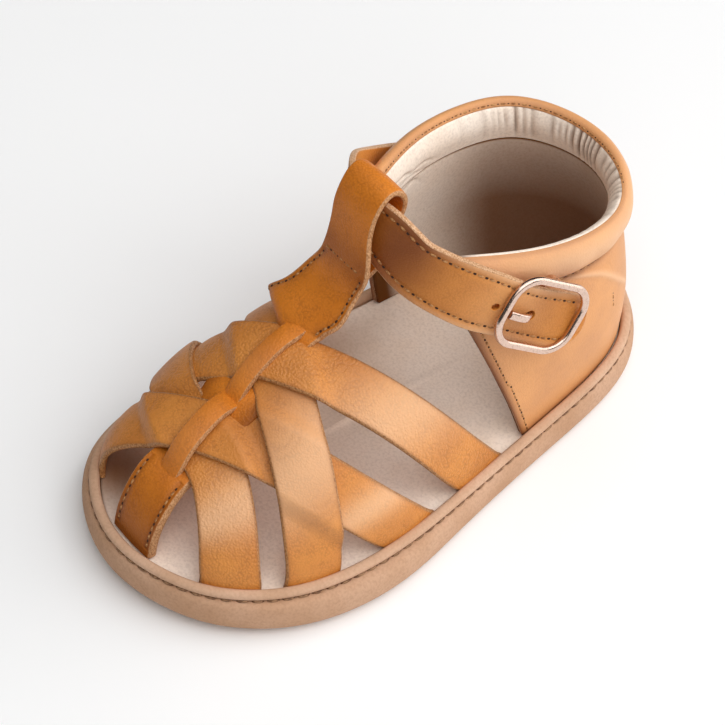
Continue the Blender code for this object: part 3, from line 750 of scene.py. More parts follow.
# Each part: thickness, crown, and the middle line of its under side: x, y, z, half width.
STRIP_PARTS = {
    "toe": (2.2, 0.3, (
        (-3.0, -62.3, 10.6, 5.9),
        (-3.1, -61.3, 14.8, 5.9),
        (-3.7, -57.4, 20.5, 6.0),
        (-4.2, -54.2, 22.6, 6.0),
        (-4.6, -51.4, 23.2, 5.8),
        (-5.0, -47.0, 23.8, 5.8),
    )),
    "front_bridge": (1.4, 0.4, (
        (-3.9, -56.4, 19.2, 2.5),
        (-3.9, -54.5, 21.0, 2.5),
        (-3.8, -52.8, 22.9, 2.5),
        (-3.75, -51.0, 25.6, 2.5),
        (-3.8, -48.4, 29.0, 2.5),
        (-4.1, -44.4, 31.5, 2.5),
        (-4.6, -40.1, 32.6, 2.5),
        (-5.1, -37.6, 31.9, 2.6),
        (-5.4, -35.6, 30.9, 2.6),
        (-5.6, -34.0, 30.0, 2.6),
    )),
    "middle": (1.4, 0.3, (
        (-5.4, -43.0, 27.2, 6.6),
        (-5.5, -39.4, 29.7, 6.8),
        (-5.6, -36.4, 31.7, 7.4),
        (-5.7, -33.6, 32.9, 7.4),
        (-5.9, -29.0, 33.2, 6.6),
    )),
    "rear_bridge": (1.4, 0.4, (
        (-5.4, -39.0, 28.6, 2.3),
        (-5.4, -37.0, 30.6, 2.3),
        (-5.3, -35.4, 32.4, 2.3),
        (-5.3, -33.6, 34.7, 2.2),
        (-5.2, -28.4, 39.2, 2.2),
        (-5.1, -23.6, 41.4, 2.2),
        (-4.9, -21.6, 42.0, 2.3),
        (-4.9, -19.8, 42.2, 2.3),
        (-4.8, -17.8, 42.6, 2.3),
    )),
    "bar": (1.25, 0.3, (
        (-5.2, -20.9, 40.0, 4.2),
        (-7.0, -20.1, 41.9, 6.6),
        (-8.9, -19.1, 43.5, 9.6),
        (-6.5, -16.0, 45.8, 8.9),
        (-5.0, -11.8, 49.6, 7.6),
        (-3.7, -9.7, 54.0, 6.9),
        (-2.4, -9.2, 58.4, 6.6),
        (-3.1, -7.6, 65.2, 5.6),
        (-3.5, -5.2, 72.2, 5.6),
        (-3.7, -2.6, 74.0, 5.8),
        (-3.7, -0.4, 71.8, 5.7),
        (-3.4, -1.7, 65.0, 5.0),
        (-3.0, -3.6, 57.6, 3.9),
        (-3.2, -6.6, 54.6, 3.9),
        (-3.3, -9.6, 54.2, 3.9),
    )),
}
SEAM_INSET = 1.25
SEAM_WIDTH = 0.5
SEAM_DEPTH = 0.28
SEAM_START = 1 / 150
THREAD_LIFT = 0.1
STRIP_STITCH = {"pitch": 2.1, "length": 1.5, "radius": 0.28, "sink": 0.3}
STRIP_HOLE = {"pitch": 2.1, "length": 0.8, "radius": 0.33, "sink": 0.1}
HOLE_LIFT = -0.12
# Stitched stretch of each stitched part, as shares of its length.
SEAMS = {"toe": (0.08, 0.74), "bar": (0.07, 0.365)}
CROSS_SEAM_AT = 0.373
CROSS_SEAM_INSET = 0.8
CROSS_SEAM_LIFT = 0.15
CROSS_SEAM_POINTS = 30
HOLE_SPECKS = 2400.0
# Droop of a part's long edges, per square millimetre from its middle line, and its share on the outer side.
DROOP = {"bar": 0.06, "middle": 0.018}
OUTER_DROOP = 0.55


def drooped(name, at, wide):
    """Fall of a part's long edges: the square of the way from its middle line, on the T-bar near its foot."""
    fade = bell(at, 0.04, 0.1) if name == "bar" else 1.0
    return DROOP.get(name, 0.0) * fade * wide**2 * np.where(wide > 0, OUTER_DROOP, 1.0)


across, height, cut, top = band_section(STRIP_HALF, 1.0, STRIP_CELL)
share = np.linspace(0, 1, STRIP_STEPS)
average = np.full(2 * WIDTH_REACH + 1, 1 / (2 * WIDTH_REACH + 1))
strip_lines, strip_ups, strip_grids, strip_marks = {}, {}, [], {"cut": [], "pale": [], "deep": []}
for name, (thick, crown, rows) in STRIP_PARTS.items():
    rows = np.array(rows)
    length = running_length(rows[:, :3])
    line = spline(length, rows, share * length[-1])
    widths = np.interp(share * length[-1], length, rows[:, 3])
    line[:, 3] = np.convolve(np.pad(widths, WIDTH_REACH, "edge"), average, "valid")
    up = unit(np.cross([1.0, 0.0, 0.0], unit(np.gradient(line[:, :3], axis=0))))
    wide = line[:, 3:] / STRIP_HALF * across
    from_edge = line[:, 3:] - np.abs(wide)
    start, stop = SEAMS.get(name, (2.0, 2.0))
    sewn = (ramp(share, start, start + SEAM_START) * ramp(share, stop, stop - SEAM_START))[:, None] * top
    channel = SEAM_DEPTH * bell(from_edge, SEAM_INSET, SEAM_WIDTH) * sewn
    arch = crown * (1 - (across / STRIP_HALF) ** 2) * top
    out_by = STRIP_TOP - thick + thick * height + arch - channel - drooped(name, share[:, None], wide)
    grid = line[:, None, :3] + out_by[..., None] * up[:, None]
    grid[:, :, 0] += wide
    strip_lines[name], strip_ups[name] = line, up
    strip_grids.append(grid)
    # Painted shade at the foot of the toe and in the fold; burnished along the seams; the bridges are a
    # little rubbed.
    # The middle has painted shade along its sides, which the straps cover.
    foot = bell(share, 0.0, 0.55)[:, None] * top if name == "toe" else 0 * wide
    covered = bell(from_edge, 0.0, 2.6) * (name == "middle")
    strip_marks["cut"].append(0.9 * cut * (1 - covered))
    fold_shade = 0.5 * bell(share, CROSS_SEAM_AT + 0.02, 0.07)[:, None] * top * (name == "bar")
    # Painted shade at the toe's foot and in the fold, with burnish along the seams.
    burnish_and_shade = 0.62 * foot + 0.3 * bell(from_edge, SEAM_INSET, 0.8) * sewn
    strip_marks["deep"].append(burnish_and_shade + fold_shade + 0.6 * covered)
    strip_marks["pale"].append(0.1 * bell(share, 0.5, 0.2)[:, None] * top * ("bridge" in name))
strip_marks = {mark: np.stack(values) for mark, values in strip_marks.items()}
strip_piece = put_mesh("centre_strip", np.stack(strip_grids), marks=strip_marks)
strip_hide = leather("strip_hide", 2200.0, 0.3, 0.35, ("DA8024", "B66416"), ("D2A478", "96643A"), 0.28)
strip_piece.data.materials.append(strip_hide)
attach(strip_piece, "root")
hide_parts("vamp_straps")


def strip_seam(name, edge_side):
    """Path of a seam inset from one edge of a part of the strip, in its channel, and the normals there."""
    start, stop = SEAMS[name]
    use = (share >= start) & (share <= stop)
    line, up = strip_lines[name][use], strip_ups[name][use]
    reach = edge_side * (line[:, 3] - SEAM_INSET)
    out_by = STRIP_TOP - SEAM_DEPTH + THREAD_LIFT - drooped(name, share[use], reach)
    path = line[:, :3] + out_by[:, None] * up
    path[:, 0] += reach
    return path, up


def cross_seam(at):
    """Path of a seam straight across the T-bar, and the normals there."""
    k = np.argmin(np.abs(share - at))
    line, up = strip_lines["bar"][k], strip_ups["bar"][k]
    reach = np.linspace(-1, 1, CROSS_SEAM_POINTS) * (line[3] - CROSS_SEAM_INSET)
    path = line[:3] + (STRIP_TOP + CROSS_SEAM_LIFT) * up + reach[:, None] * np.array([1.0, 0.0, 0.0])
    return path, np.repeat(up[None], CROSS_SEAM_POINTS, axis=0)


strip_paths = [strip_seam(name, way) for name in SEAMS for way in (-1, 1)] + [cross_seam(CROSS_SEAM_AT)]
tan_thread = thread("tan_thread", "8E5A2A", "C08C56")
# Painted shade: the needle holes are dark dimples standing in for the shade inside each hole.
hole_dark, hole_tree, hole_shader = finish_material("needle_hole")
hole_shade = mix(hole_tree, noise(hole_tree, HOLE_SPECKS), tone("2B160A"), tone("4A2A14"))
hole_tree.links.new(hole_shade, hole_shader.inputs["Base Color"])
hole_shader.inputs["Roughness"].default_value = 0.9


def needle_holes(paths, hole):
    """Flat dimples half a stitch along from each stitch, where the thread goes in, dark with the painted
    shade of the hole.
    """
    return [stitch_row(*row, **hole, lift=HOLE_LIFT, skip=hole["pitch"] / 2) for row in paths]


sew("strip_stitches", [stitch_row(*row, **STRIP_STITCH) for row in strip_paths], tan_thread)
sew("strip_needle_holes", needle_holes(strip_paths, STRIP_HOLE), hole_dark)

# Heel wall: tan leather closed round the heel, seamed below a padded collar that rolls over the top.
# The leather turns in over the rim to a stitch line, where the lining takes over.

QUARTER_FRONT = 17.4
WALL_STEPS = 260
WALL_CELLS = 120
RIM_HALF_POINTS = 200
WALL_HEIGHT = 48.0
WALL_THICK = 1.2
SEAM_ROW = 5.0
SEAM_CREASE = 0.45
ROLL_FOLDS = 0.12
FRONT_LEAN = 2.8
FRONT_FROM = 0.7
LEATHER_END_INNER = 11.25
LEATHER_END_OUTER = 10.05
# Top line of the collar: share round the heel, x, y, z.
COLLAR_ROWS = np.array([
    (-1.00, -15.4, 5.8, 60.5),
    (-0.78, -22.4, 23.0, 58.0),
    (-0.55, -23.4, 40.2, 56.0),
    (-0.30, -17.6, 52.4, 54.8),
    (0.00, -1.4, 58.2, 53.8),
    (0.30, 13.1, 51.8, 52.9),
    (0.55, 18.8, 40.0, 53.4),
    (0.78, 18.2, 22.8, 56.6),
    (1.00, 12.2, 5.2, 60.5),
])
# Section of the wall from the foot of the outside, over the roll, down the inside: height share, outward.
WALL_ROWS = np.array([
    (0.000, -0.5),
    (0.120, 0.1),
    (0.300, 0.7),
    (0.500, 0.4),
    (0.680, -0.3),
    (0.770, -0.8),
    (0.815, 0.2),
    (0.870, 1.2),
    (0.930, 1.5),
    (0.975, 0.9),
    (1.000, -0.5),
    (0.985, -2.0),
    (0.940, -3.0),
    (0.870, -3.2),
    (0.800, -3.0),
    (0.740, -2.8),
    (0.500, -1.6),
    (0.300, -1.3),
    (0.120, -1.7),
    (0.000, -2.3),
])
# Raised seam from the buckle round to the back of the outer side: share round the heel, row of the section.
TAB_LINE = np.array([(0.33, 2.4), (0.36, 2.56), (0.56, 4.05), (0.68, 4.8)])
TAB_HEIGHT = 0.4

heel_points, _ = lip_line(FINE_POINTS)
heel_top = np.argmax(heel_points[:, 1])


def rim_half(way):
    """Half of the wall's foot line, from the middle of the heel to its front edge."""
    first = heel_top if way == 1 else FINE_POINTS - 1 - heel_top
    turned = np.roll(heel_points[::way], -first, axis=0)
    return even(turned[: np.argmax(turned[:, 1] < QUARTER_FRONT) + 1], RIM_HALF_POINTS)


rim_line = np.vstack([rim_half(1)[::-1], rim_half(-1)[1:]])
round_heel = np.linspace(-1, 1, WALL_STEPS)
rim_at = np.linspace(-1, 1, len(rim_line))
rim = np.column_stack([read_off(round_heel, rim_at, rim_line), np.full(WALL_STEPS, STRAP_FOOT)])
collar = spline(COLLAR_ROWS[:, 0], COLLAR_ROWS[:, 1:], round_heel)
wall_run = np.gradient((rim + collar)[:, :2], axis=0)
wall_out = unit(np.stack([-wall_run[:, 1], wall_run[:, 0]], axis=1))


def wall_curve(start, stop, count):
    """The wall's section between two rows of its table at each step round the heel.

    Returns height and outward in millimetres, the normals, and the rows they belong to.
    """
    start = np.broadcast_to(start, WALL_STEPS)[:, None]
    at = start + (np.broadcast_to(stop, WALL_STEPS)[:, None] - start) * np.linspace(0, 1, count)
    curve = spline(np.arange(len(WALL_ROWS)), WALL_ROWS * (WALL_HEIGHT, 1.0), at.ravel())
    curve = curve.reshape(*at.shape, 2)
    run = unit(np.gradient(curve, axis=1))
    return curve, np.stack([-run[..., 1], run[..., 0]], axis=-1), at


def wall_surface(curve):
    """The section carried round the heel, with heights as shares of the way from the rim to the top line.

    Near its outer front edge the wall leans forward as a power of the height, and back again under its top.
    """
    up = curve[..., 0] / WALL_HEIGHT
    grid = rim[:, None] + (collar - rim)[:, None] * up[..., None]
    grid[..., :2] += wall_out[:, None] * curve[..., 1:]
    near_front = ramp(round_heel, FRONT_FROM, 1.0)[:, None] ** 2
    grid[..., 1] -= FRONT_LEAN * near_front * ramp(up, 0.0, 0.65) ** 1.6 * ramp(up, 1.0, 0.75)
    return grid


turn_in = eased(ramp(round_heel, -0.05, 0.45))
leather_end = LEATHER_END_INNER + (LEATHER_END_OUTER - LEATHER_END_INNER) * turn_in
outside, outside_normal, outside_at = wall_curve(0.0, leather_end, WALL_CELLS)
outer_side = ramp(round_heel, 0.45, 0.7)[:, None]
crease = SEAM_CREASE * bell(outside_at, SEAM_ROW, 0.18) * (1 + 1.4 * outer_side)
# Faint folds of the roll: a sine whose phase wanders.
waves = np.sin(40 * round_heel + 1.3 * np.sin(9 * round_heel))[:, None]
folds = ROLL_FOLDS * waves * bell(outside_at, 7.0, 1.2)
tab_row = np.interp(round_heel, TAB_LINE[:, 0], TAB_LINE[:, 1])[:, None]
tab_on = ramp(round_heel, 0.33, 0.38) * ramp(round_heel, 0.72, 0.67)
tab = bell(outside_at, tab_row, 0.13) * tab_on[:, None]
skin = outside + outside_normal * (folds - crease + TAB_HEIGHT * tab)[..., None]
back = outside - outside_normal * WALL_THICK
at_both = np.concatenate([outside_at, outside_at[:, ::-1]], axis=1)
skin_side = np.r_[np.ones(WALL_CELLS), np.zeros(WALL_CELLS)]
# Painted shade in the seam and in the fold below it on the outer side; darker along the rim and at both front
# edges, and paler on the roll and the raised seam.
deep = 0.55 * bell(at_both, SEAM_ROW, 0.3) + 0.25 * bell(at_both, leather_end[:, None] - 0.3, 0.3)
deep += 0.85 * outer_side * bell(at_both, SEAM_ROW + 0.35, 0.4)
deep += 0.85 * bell(np.abs(round_heel), 1.0, 0.02)[:, None]
pale = 0.28 + 0.45 * bell(at_both, 7.8, 1.5) + 0.4 * np.concatenate([tab, 0 * tab], axis=1)
heel_wall = put_mesh(
    "heel_wall",
    wall_surface(np.concatenate([skin, back[:, ::-1]], axis=1)),
    marks={"cut": 0.8 * (1 - skin_side), "pale": pale * skin_side, "deep": np.clip(deep, 0, 1)},
)
heel_wall.data.materials.append(leather("heel_hide", 2400.0, 0.15, 0.2))
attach(heel_wall, "root")
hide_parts("heel_quarter")

# Lining: pale soft leather inside the heel wall, padded under the collar and gathered round the back,
# with a seam below the padding.

LINING_THICK = 0.9
LINING_LAP = 0.35
LINING_CELLS = 150
TUCK_DEPTH = 0.25
GATHERS = 46
GATHER_DEPTH = 1.9
PAD_SEAM_ROW = 14.4
PAD_SEAM_DEPTH = 0.5
PAD_ROW = 12.8
PAD_PUFF = 0.5
WRINKLE_DEPTH = 0.45
# Wrinkles of the lining behind the loop, each from and to: share round the heel, row of the section.
LINING_WRINKLES = (
    ((-0.95, 12.4), (-0.82, 13.3)),
    ((-0.94, 13.2), (-0.76, 14.0)),
    ((-0.90, 14.6), (-0.78, 15.0)),
    ((-0.86, 13.0), (-0.72, 13.5)),
)

# The pleats are cusps of a sine whose phase wanders, so that no two gathers are alike.
inside, inside_normal, inside_at = wall_curve(leather_end - LINING_LAP, len(WALL_ROWS) - 1.0, LINING_CELLS)
tuck = ramp(inside_at, leather_end[:, None] + 0.2, leather_end[:, None] - 0.3)
inside = inside - TUCK_DEPTH * inside_normal * tuck[..., None]
phase = GATHERS * round_heel + 2.2 * np.sin(5.3 * round_heel)
phase += 1.1 * np.sin(17 * round_heel + 1) + 0.5 * np.sin(41 * round_heel)
pleat = np.abs(np.sin(np.pi * phase / 2))[:, None] ** 0.6 - 1
strong = (0.65 + 0.35 * np.sin(31 * round_heel + 0.7) * np.sin(13 * round_heel))[:, None]
reach = 1.5 + 0.8 * np.sin(23 * round_heel + 2)[:, None]
about = bell(round_heel, -0.02, 0.4)[:, None]
above_seam = ramp(inside_at, PAD_SEAM_ROW - 0.1, PAD_SEAM_ROW - 1.0)
gathered = GATHER_DEPTH * pleat * strong * about * above_seam
gathered = gathered * bell(inside_at, leather_end[:, None] + 1.1, reach)
pad_seam = PAD_SEAM_DEPTH * bell(inside_at, PAD_SEAM_ROW, 0.16)
puff = PAD_PUFF * bell(inside_at, PAD_ROW, 0.9)
wrinkles = 0 * inside_at
for first, last in LINING_WRINKLES:
    along = (round_heel[:, None] - first[0]) / (last[0] - first[0])
    line = first[1] + (last[1] - first[1]) * along + 0.12 * np.sin(7 * along)
    wrinkles += bell(inside_at, line, 0.11) * bell(along, 0.5, 0.38)
swell = (gathered + puff) * (1 - tuck) - pad_seam - WRINKLE_DEPTH * wrinkles
soft = inside + inside_normal * swell[..., None]
hidden = inside - inside_normal * LINING_THICK
at_both = np.concatenate([inside_at, inside_at[:, ::-1]], axis=1)
# Painted shade in the seam, in the folds and wrinkles, at both front edges, low on the inner front, and below
# the seam except near the inner front.
dusk = (0.05 + 0.87 * eased(ramp(round_heel, -0.84, -0.44)))[:, None]
lower = ramp(at_both, PAD_SEAM_ROW, PAD_SEAM_ROW + 2.2)
deep = 0.85 * bell(at_both, PAD_SEAM_ROW, 0.2) + dusk * (0.45 + 0.55 * lower) * (at_both > PAD_SEAM_ROW)
inner_front = ramp(round_heel, -0.86, -0.94)[:, None] * ramp(at_both, 15.4, 16.6)
deep = deep + 0.9 * bell(np.abs(round_heel), 1.0, 0.04)[:, None] + 0.7 * inner_front
# Painted shade in the folds of the gathers and in the wrinkles.
fold_shade = np.concatenate([np.clip(-gathered + 0.5 * wrinkles, 0, 1), 0 * gathered], axis=1)
lining = put_mesh(
    "collar_lining",
    wall_surface(np.concatenate([soft, hidden[:, ::-1]], axis=1)),
    marks={"deep": np.clip(deep + 0.8 * fold_shade, 0, 1)},
)
lining.data.materials.append(lining_leather("lining_leather", "FCEAD8", "6A3C0E", "FFF1E2", 0.2))
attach(lining, "root")
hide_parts("heel_quarter")

# Heel stitching: tan thread along both front edges, in the seam under the collar,
# along the turned-in rim, and a short bar of stitches at the back.

FRONT_STITCH = {"pitch": 2.3, "length": 1.5, "radius": 0.24, "sink": 0.25}
FRONT_HOLE = {"pitch": 2.3, "length": 0.8, "radius": 0.27, "sink": 0.1}
HEEL_STITCH = {"pitch": 2.3, "length": 1.5, "radius": 0.2, "sink": 0.25}
HEEL_HOLE = {"pitch": 2.3, "length": 0.7, "radius": 0.19, "sink": 0.1}
FRONT_INSET = 1.9
BAR_TACK = np.array([19.6, 45.8, 28.4])
BAR_TACK_CELLS = 4
RIM_SEAM_SHARE = 0.66
RIM_SEAM_INSET = 0.3

heel_skin = wall_surface(outside)
heel_up = unit(wall_surface(outside + outside_normal) - heel_skin)


def wall_path(row, lift):
    """Line round the heel at one row of the section, and its normals out of the leather."""
    steps = np.arange(WALL_STEPS)
    near = np.argmin(np.abs(outside_at - np.reshape(row, (-1, 1))), axis=1)
    return heel_skin[steps, near] + lift * heel_up[steps, near], heel_up[steps, near]


def front_path(way):
    """Line up the wall just behind its front edge, at a set distance from it."""
    reach = np.cumsum(np.linalg.norm(np.diff(heel_skin[::way], axis=0), axis=2), axis=0)
    k = np.argmin(np.abs(reach - FRONT_INSET), axis=0) + 1
    cells = np.arange(heel_skin.shape[1])
    keep = outside_at[::way][k, cells] < SEAM_ROW - 0.1
    return heel_skin[::way][k, cells][keep], heel_up[::way][k, cells][keep]


near = np.linalg.norm(heel_skin - BAR_TACK, axis=2)
k, c = np.unravel_index(np.argmin(near), near.shape)
tacked = slice(c - BAR_TACK_CELLS, c + BAR_TACK_CELLS + 1)
bar_tack = heel_skin[k, tacked], heel_up[k, tacked]
rim_row = leather_end - RIM_SEAM_INSET
rim_seam = [line[: int(RIM_SEAM_SHARE * WALL_STEPS)] for line in wall_path(rim_row, 0.0)]
front_paths = [front_path(-1), front_path(1)]
heel_paths = [wall_path(SEAM_ROW + 0.12, -0.1), rim_seam, bar_tack]
heel_rows = [stitch_row(*row, **FRONT_STITCH) for row in front_paths]
heel_rows += [stitch_row(*row, **HEEL_STITCH) for row in heel_paths]
heel_hole_rows = needle_holes(front_paths, FRONT_HOLE) + needle_holes(heel_paths, HEEL_HOLE)
sew("heel_stitches", heel_rows, tan_thread)
sew("heel_needle_holes", heel_hole_rows, hole_dark)

# Ankle strap: two layers of tan leather stitched together along both edges, with raw pale sides.
# It is sewn to the inner heel wall, runs through the loop and under the buckle, and is punched at its tip.

ANKLE_THICK = 1.3
ANKLE_HALF = 6.5
ANKLE_CELL = 0.42
ANKLE_ROUND = 0.22
ANKLE_OUTER = 1.0
ANKLE_BELLY = 0.2
ANKLE_CHANNEL = 0.3
LAYER_GAP = 0.18
END_ROUND = 3.0
TIP_ROUND = 4.0
ANKLE_STEPS = 300
# Upright axis that the strap's face is turned away from: x, y.
ANKLE_AXIS = np.array([-3.0, 25.0])
# Middle line: x, y, z, lean, half width. The buckle's middle is at one of its rows.
BUCKLE_ROW = 14
ANKLE_ROWS = np.array([
    (-25.4, 30.0, 41.5, 0.02, 6.4),
    (-24.6, 21.0, 46.0, 0.04, 6.9),
    (-22.1, 12.4, 51.4, 0.12, 7.0),
    (-18.1, 5.4, 57.6, 0.21, 6.9),
    (-13.9, 0.8, 62.4, 0.23, 6.8),
    (-10.6, -2.6, 64.8, 0.25, 6.7),
    (-7.4, -4.4, 65.9, 0.25, 6.6),
    (-4.0, -4.7, 66.1, 0.25, 6.6),
    (-0.6, -4.7, 65.8, 0.25, 6.7),
    (3.2, -4.2, 65.0, 0.25, 7.0),
    (7.2, -2.5, 61.5, 0.25, 7.3),
    (14.4, 3.0, 56.0, 0.25, 7.35),
    (18.6, 7.8, 52.7, 0.23, 7.3),
    (21.0, 12.0, 49.9, 0.21, 6.7),
    (23.2, 18.4, 45.2, 0.20, 6.3),
    (25.3, 25.0, 41.2, 0.18, 6.0),
    (26.1, 28.6, 39.0, 0.18, 5.2),
])
ANKLE_INSET = 1.9
ANKLE_STITCH = {"pitch": 2.7, "length": 1.8, "radius": 0.3, "sink": 0.3}
ANKLE_HOLE = {"pitch": 2.7, "length": 0.9, "radius": 0.35, "sink": 0.1}
# Punched holes: along the strap from the buckle's middle, radius.
PUNCHED = ((-3.0, 1.3), (-11.5, 0.85))
PUNCH_REACH = 3
PUNCH_RINGS = 4
PUNCH_SIDES = 20

ankle_length = running_length(ANKLE_ROWS[:, :3])
ankle_at = np.linspace(0, ankle_length[-1], ANKLE_STEPS)
ankle = spline(ankle_length, ANKLE_ROWS, ankle_at)
ankle_run = unit(np.gradient(ankle[:, :3], axis=0))
ankle_out = unit(np.column_stack([unit(ankle[:, :2] - ANKLE_AXIS), ankle[:, 3]]))
ankle_out = unit(ankle_out - np.sum(ankle_out * ankle_run, axis=1, keepdims=True) * ankle_run)
ankle_up = np.cross(ankle_out, ankle_run)
across, height, cut, top = band_section(ANKLE_HALF, ANKLE_THICK, ANKLE_CELL, ANKLE_ROUND)
wide = ankle[:, 4:] / ANKLE_HALF * across
from_edge = ankle[:, 4:] - np.abs(wide)
# Both ends narrow as quarter circles.
sewn_end = ramp(ankle_at, END_ROUND, 0.0)
wide = wide * (0.55 + 0.45 * np.sqrt(1 - sewn_end**2))[:, None]
tip = ramp(ankle_at, ankle_at[-1] - TIP_ROUND, ankle_at[-1])
wide = wide * (0.3 + 0.7 * np.sqrt(1 - tip**2))[:, None]
channel = ANKLE_CHANNEL * bell(from_edge, ANKLE_INSET, 0.5) * top
belly = ANKLE_BELLY * (1 - (across / ANKLE_HALF) ** 2) * top
layers = LAYER_GAP * bell(height, ANKLE_THICK / 2, 0.22) * cut
wide = wide - np.sign(wide) * layers
out_by = height + ANKLE_OUTER - ANKLE_THICK + belly - channel
grid = ankle[:, None, :3] + wide[..., None] * ankle_up[:, None] + out_by[..., None] * ankle_out[:, None]
# Rubbed along its edges and just before the buckle; painted shade beside the loop, where the loop shadows it,
# and darker at the buckle.
run_along = np.broadcast_to(ankle_at[:, None], wide.shape)
rubbed = (0.35 * bell(from_edge, 0.3, 0.9) + 0.25 * bell(run_along, 88, 9)) * top
deep = (0.9 * bell(run_along, 61, 9) + 0.3 * bell(run_along, ankle_length[BUCKLE_ROW] - 1, 6)) * top
ankle_strap = put_mesh("ankle_band", grid, marks={"cut": 0.95 * cut, "pale": rubbed, "deep": deep})
ankle_strap.data.materials.append(leather("ankle_hide", 2400.0, 0.2, 0.25, gloss=0.3))

buckle_at = ankle_length[BUCKLE_ROW]
buckle_k = np.argmin(np.abs(ankle_at - buckle_at))
buckle_middle = spline(ankle_length, ANKLE_ROWS, np.array([buckle_at]))[0, :3]
buckle_axes = np.stack([ankle_run[buckle_k], ankle_up[buckle_k], ankle_out[buckle_k]])


def at_buckle(local):
    """Points given along the strap, up its width and outward from it, at the buckle."""
    return buckle_middle + np.asarray(local) @ buckle_axes


def wire(path, half_wide, half_high, up, sides, closed=False, power=1.0):
    """A wire along a path: its section is an oval whose flatness follows the power of the cosine and sine."""
    if closed:
        run = unit(np.roll(path, -1, axis=0) - np.roll(path, 1, axis=0))
    else:
        run = unit(np.gradient(path, axis=0))
    side = unit(np.cross(run, up))
    rise = np.cross(side, run)
    turn = np.linspace(0, 2 * np.pi, sides, endpoint=False)[None, :, None]
    wave, lift = np.cos(turn), np.sin(turn)
    wave = np.sign(wave) * np.abs(wave) ** power * half_wide
    lift = np.sign(lift) * np.abs(lift) ** power * half_high
    return path[:, None] + wave * side[:, None] + lift * rise[:, None]


def punch(piece, cutters):
    """Cuts the cutters from the piece and leaves the result as its mesh."""
    for cutter in cutters:
        hole = piece.modifiers.new(cutter.name, "BOOLEAN")
        hole.operation, hole.solver, hole.object = "DIFFERENCE", "EXACT", cutter
    bpy.context.view_layer.update()
    solid = bpy.data.meshes.new_from_object(piece.evaluated_get(bpy.context.evaluated_depsgraph_get()))
    piece.modifiers.clear()
    piece.data = solid
    for cutter in cutters:
        bpy.data.objects.remove(cutter)


cutters = []
for along_strap, radius in PUNCHED:
    k = np.argmin(np.abs(ankle_at - buckle_at - along_strap))
    path = ankle[k, :3] + np.linspace(-PUNCH_REACH, PUNCH_REACH, PUNCH_RINGS)[:, None] * ankle_out[k]
    cutters.append(put_mesh("punch", wire(path, radius, radius, ankle_up[k], PUNCH_SIDES)))
punch(ankle_strap, cutters)
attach(ankle_strap, "root")
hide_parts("ankle_strap")


def ankle_seam(side_sign):
    """Path of the seam inset from one edge of the strap, in its channel, and the normals there."""
    reach = side_sign * (ankle[:, 4:] - ANKLE_INSET)
    path = ankle[:, :3] + reach * ankle_up + (ANKLE_OUTER - ANKLE_CHANNEL + THREAD_LIFT) * ankle_out
    keep = (ankle_at > END_ROUND) & (ankle_at < ankle_at[-1] - END_ROUND)
    return path[keep], ankle_out[keep]


ankle_paths = [ankle_seam(-1), ankle_seam(1)]
sew("ankle_stitches", [stitch_row(*row, **ANKLE_STITCH) for row in ankle_paths], tan_thread)
sew("ankle_needle_holes", needle_holes(ankle_paths, ANKLE_HOLE), hole_dark)

# Buckle frame: a cast frame of pale rose-silver metal, polished, with rounded corners.
# It lies over the ankle strap, and its bar is bowed under the strap to hold it.

BUCKLE_HALF_LENGTH = 9.5
FRAME_SHIFT = -0.7
BUCKLE_HALF_WIDTH = 7.5
BUCKLE_CORNER = 5.2
FRAME_RISE = 2.1
FRAME_LIFT = 1.0
FRAME_HALF_WIDE = 0.85
FRAME_HALF_HIGH = 0.75
FRAME_STEPS = 160
FRAME_SIDES = 24
FRAME_POWER = 0.8
CORNER_STEPS = 12
BAR_RADIUS = 0.6
BAR_STEPS = 60
BAR_SIDES = 16
METAL_SCUFFS = 2600.0
POLISH_DEPTH = 0.0001
# Bar under the strap: share of the half width, outward.
BAR_ROWS = np.array([
    (1.00, 2.1),
    (0.98, 0.8),
    (0.94, -1.4),
    (0.80, -2.35),
    (0.40, -2.35),
    (0.00, -2.35),
])


def polished(name, colour, wear_and_shade):
    """Polished cast metal: bright, with faint hairline scuffs that dull it."""
    made, tree, shader = finish_material(name)
    scuffs = ranged(tree, noise(tree, METAL_SCUFFS, 4.0), 0.5, 0.8)
    tree.links.new(mix(tree, scuffs, tone(colour), tone(wear_and_shade)), shader.inputs["Base Color"])
    tree.links.new(ranged(tree, scuffs, 0.0, 1.0, 0.2, 0.36), shader.inputs["Roughness"])
    tree.links.new(bumped(tree, scuffs, 0.05, POLISH_DEPTH), shader.inputs["Normal"])
    shader.inputs["Metallic"].default_value = 1.0
    return made


rose_silver = polished("rose_silver", "E0C4B4", "BA9A86")


def cast(name, rings, node, wrap_rows=False):
    """Puts in one piece of the buckle, in its metal."""
    piece = put_mesh(name, rings, wrap_rows=wrap_rows)
    piece.data.materials.append(rose_silver)
    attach(piece, "root")
    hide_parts(node)


corner = np.linspace(0, np.pi / 2, CORNER_STEPS)
arc = np.stack([np.cos(corner), np.sin(corner)], axis=1) * BUCKLE_CORNER
reach = np.array([BUCKLE_HALF_LENGTH - BUCKLE_CORNER, BUCKLE_HALF_WIDTH - BUCKLE_CORNER])
turned = [arc * (1, 1) + reach, arc[::-1] * (-1, 1) + reach * (-1, 1)]
turned += [arc * (-1, -1) - reach, arc[::-1] * (1, -1) + reach * (1, -1)]
flat = np.vstack(turned)
flat = even(np.vstack([flat, flat[:1]]), FRAME_STEPS + 1)[:-1]
flat = flat + (FRAME_SHIFT, FRAME_LIFT)
frame_path = at_buckle(np.column_stack([flat, np.full(FRAME_STEPS, FRAME_RISE)]))
frame_rings = wire(
    frame_path, FRAME_HALF_WIDE, FRAME_HALF_HIGH, buckle_axes[2], FRAME_SIDES, closed=True, power=FRAME_POWER
)
cast("buckle_ring", frame_rings, "buckle_frame", wrap_rows=True)

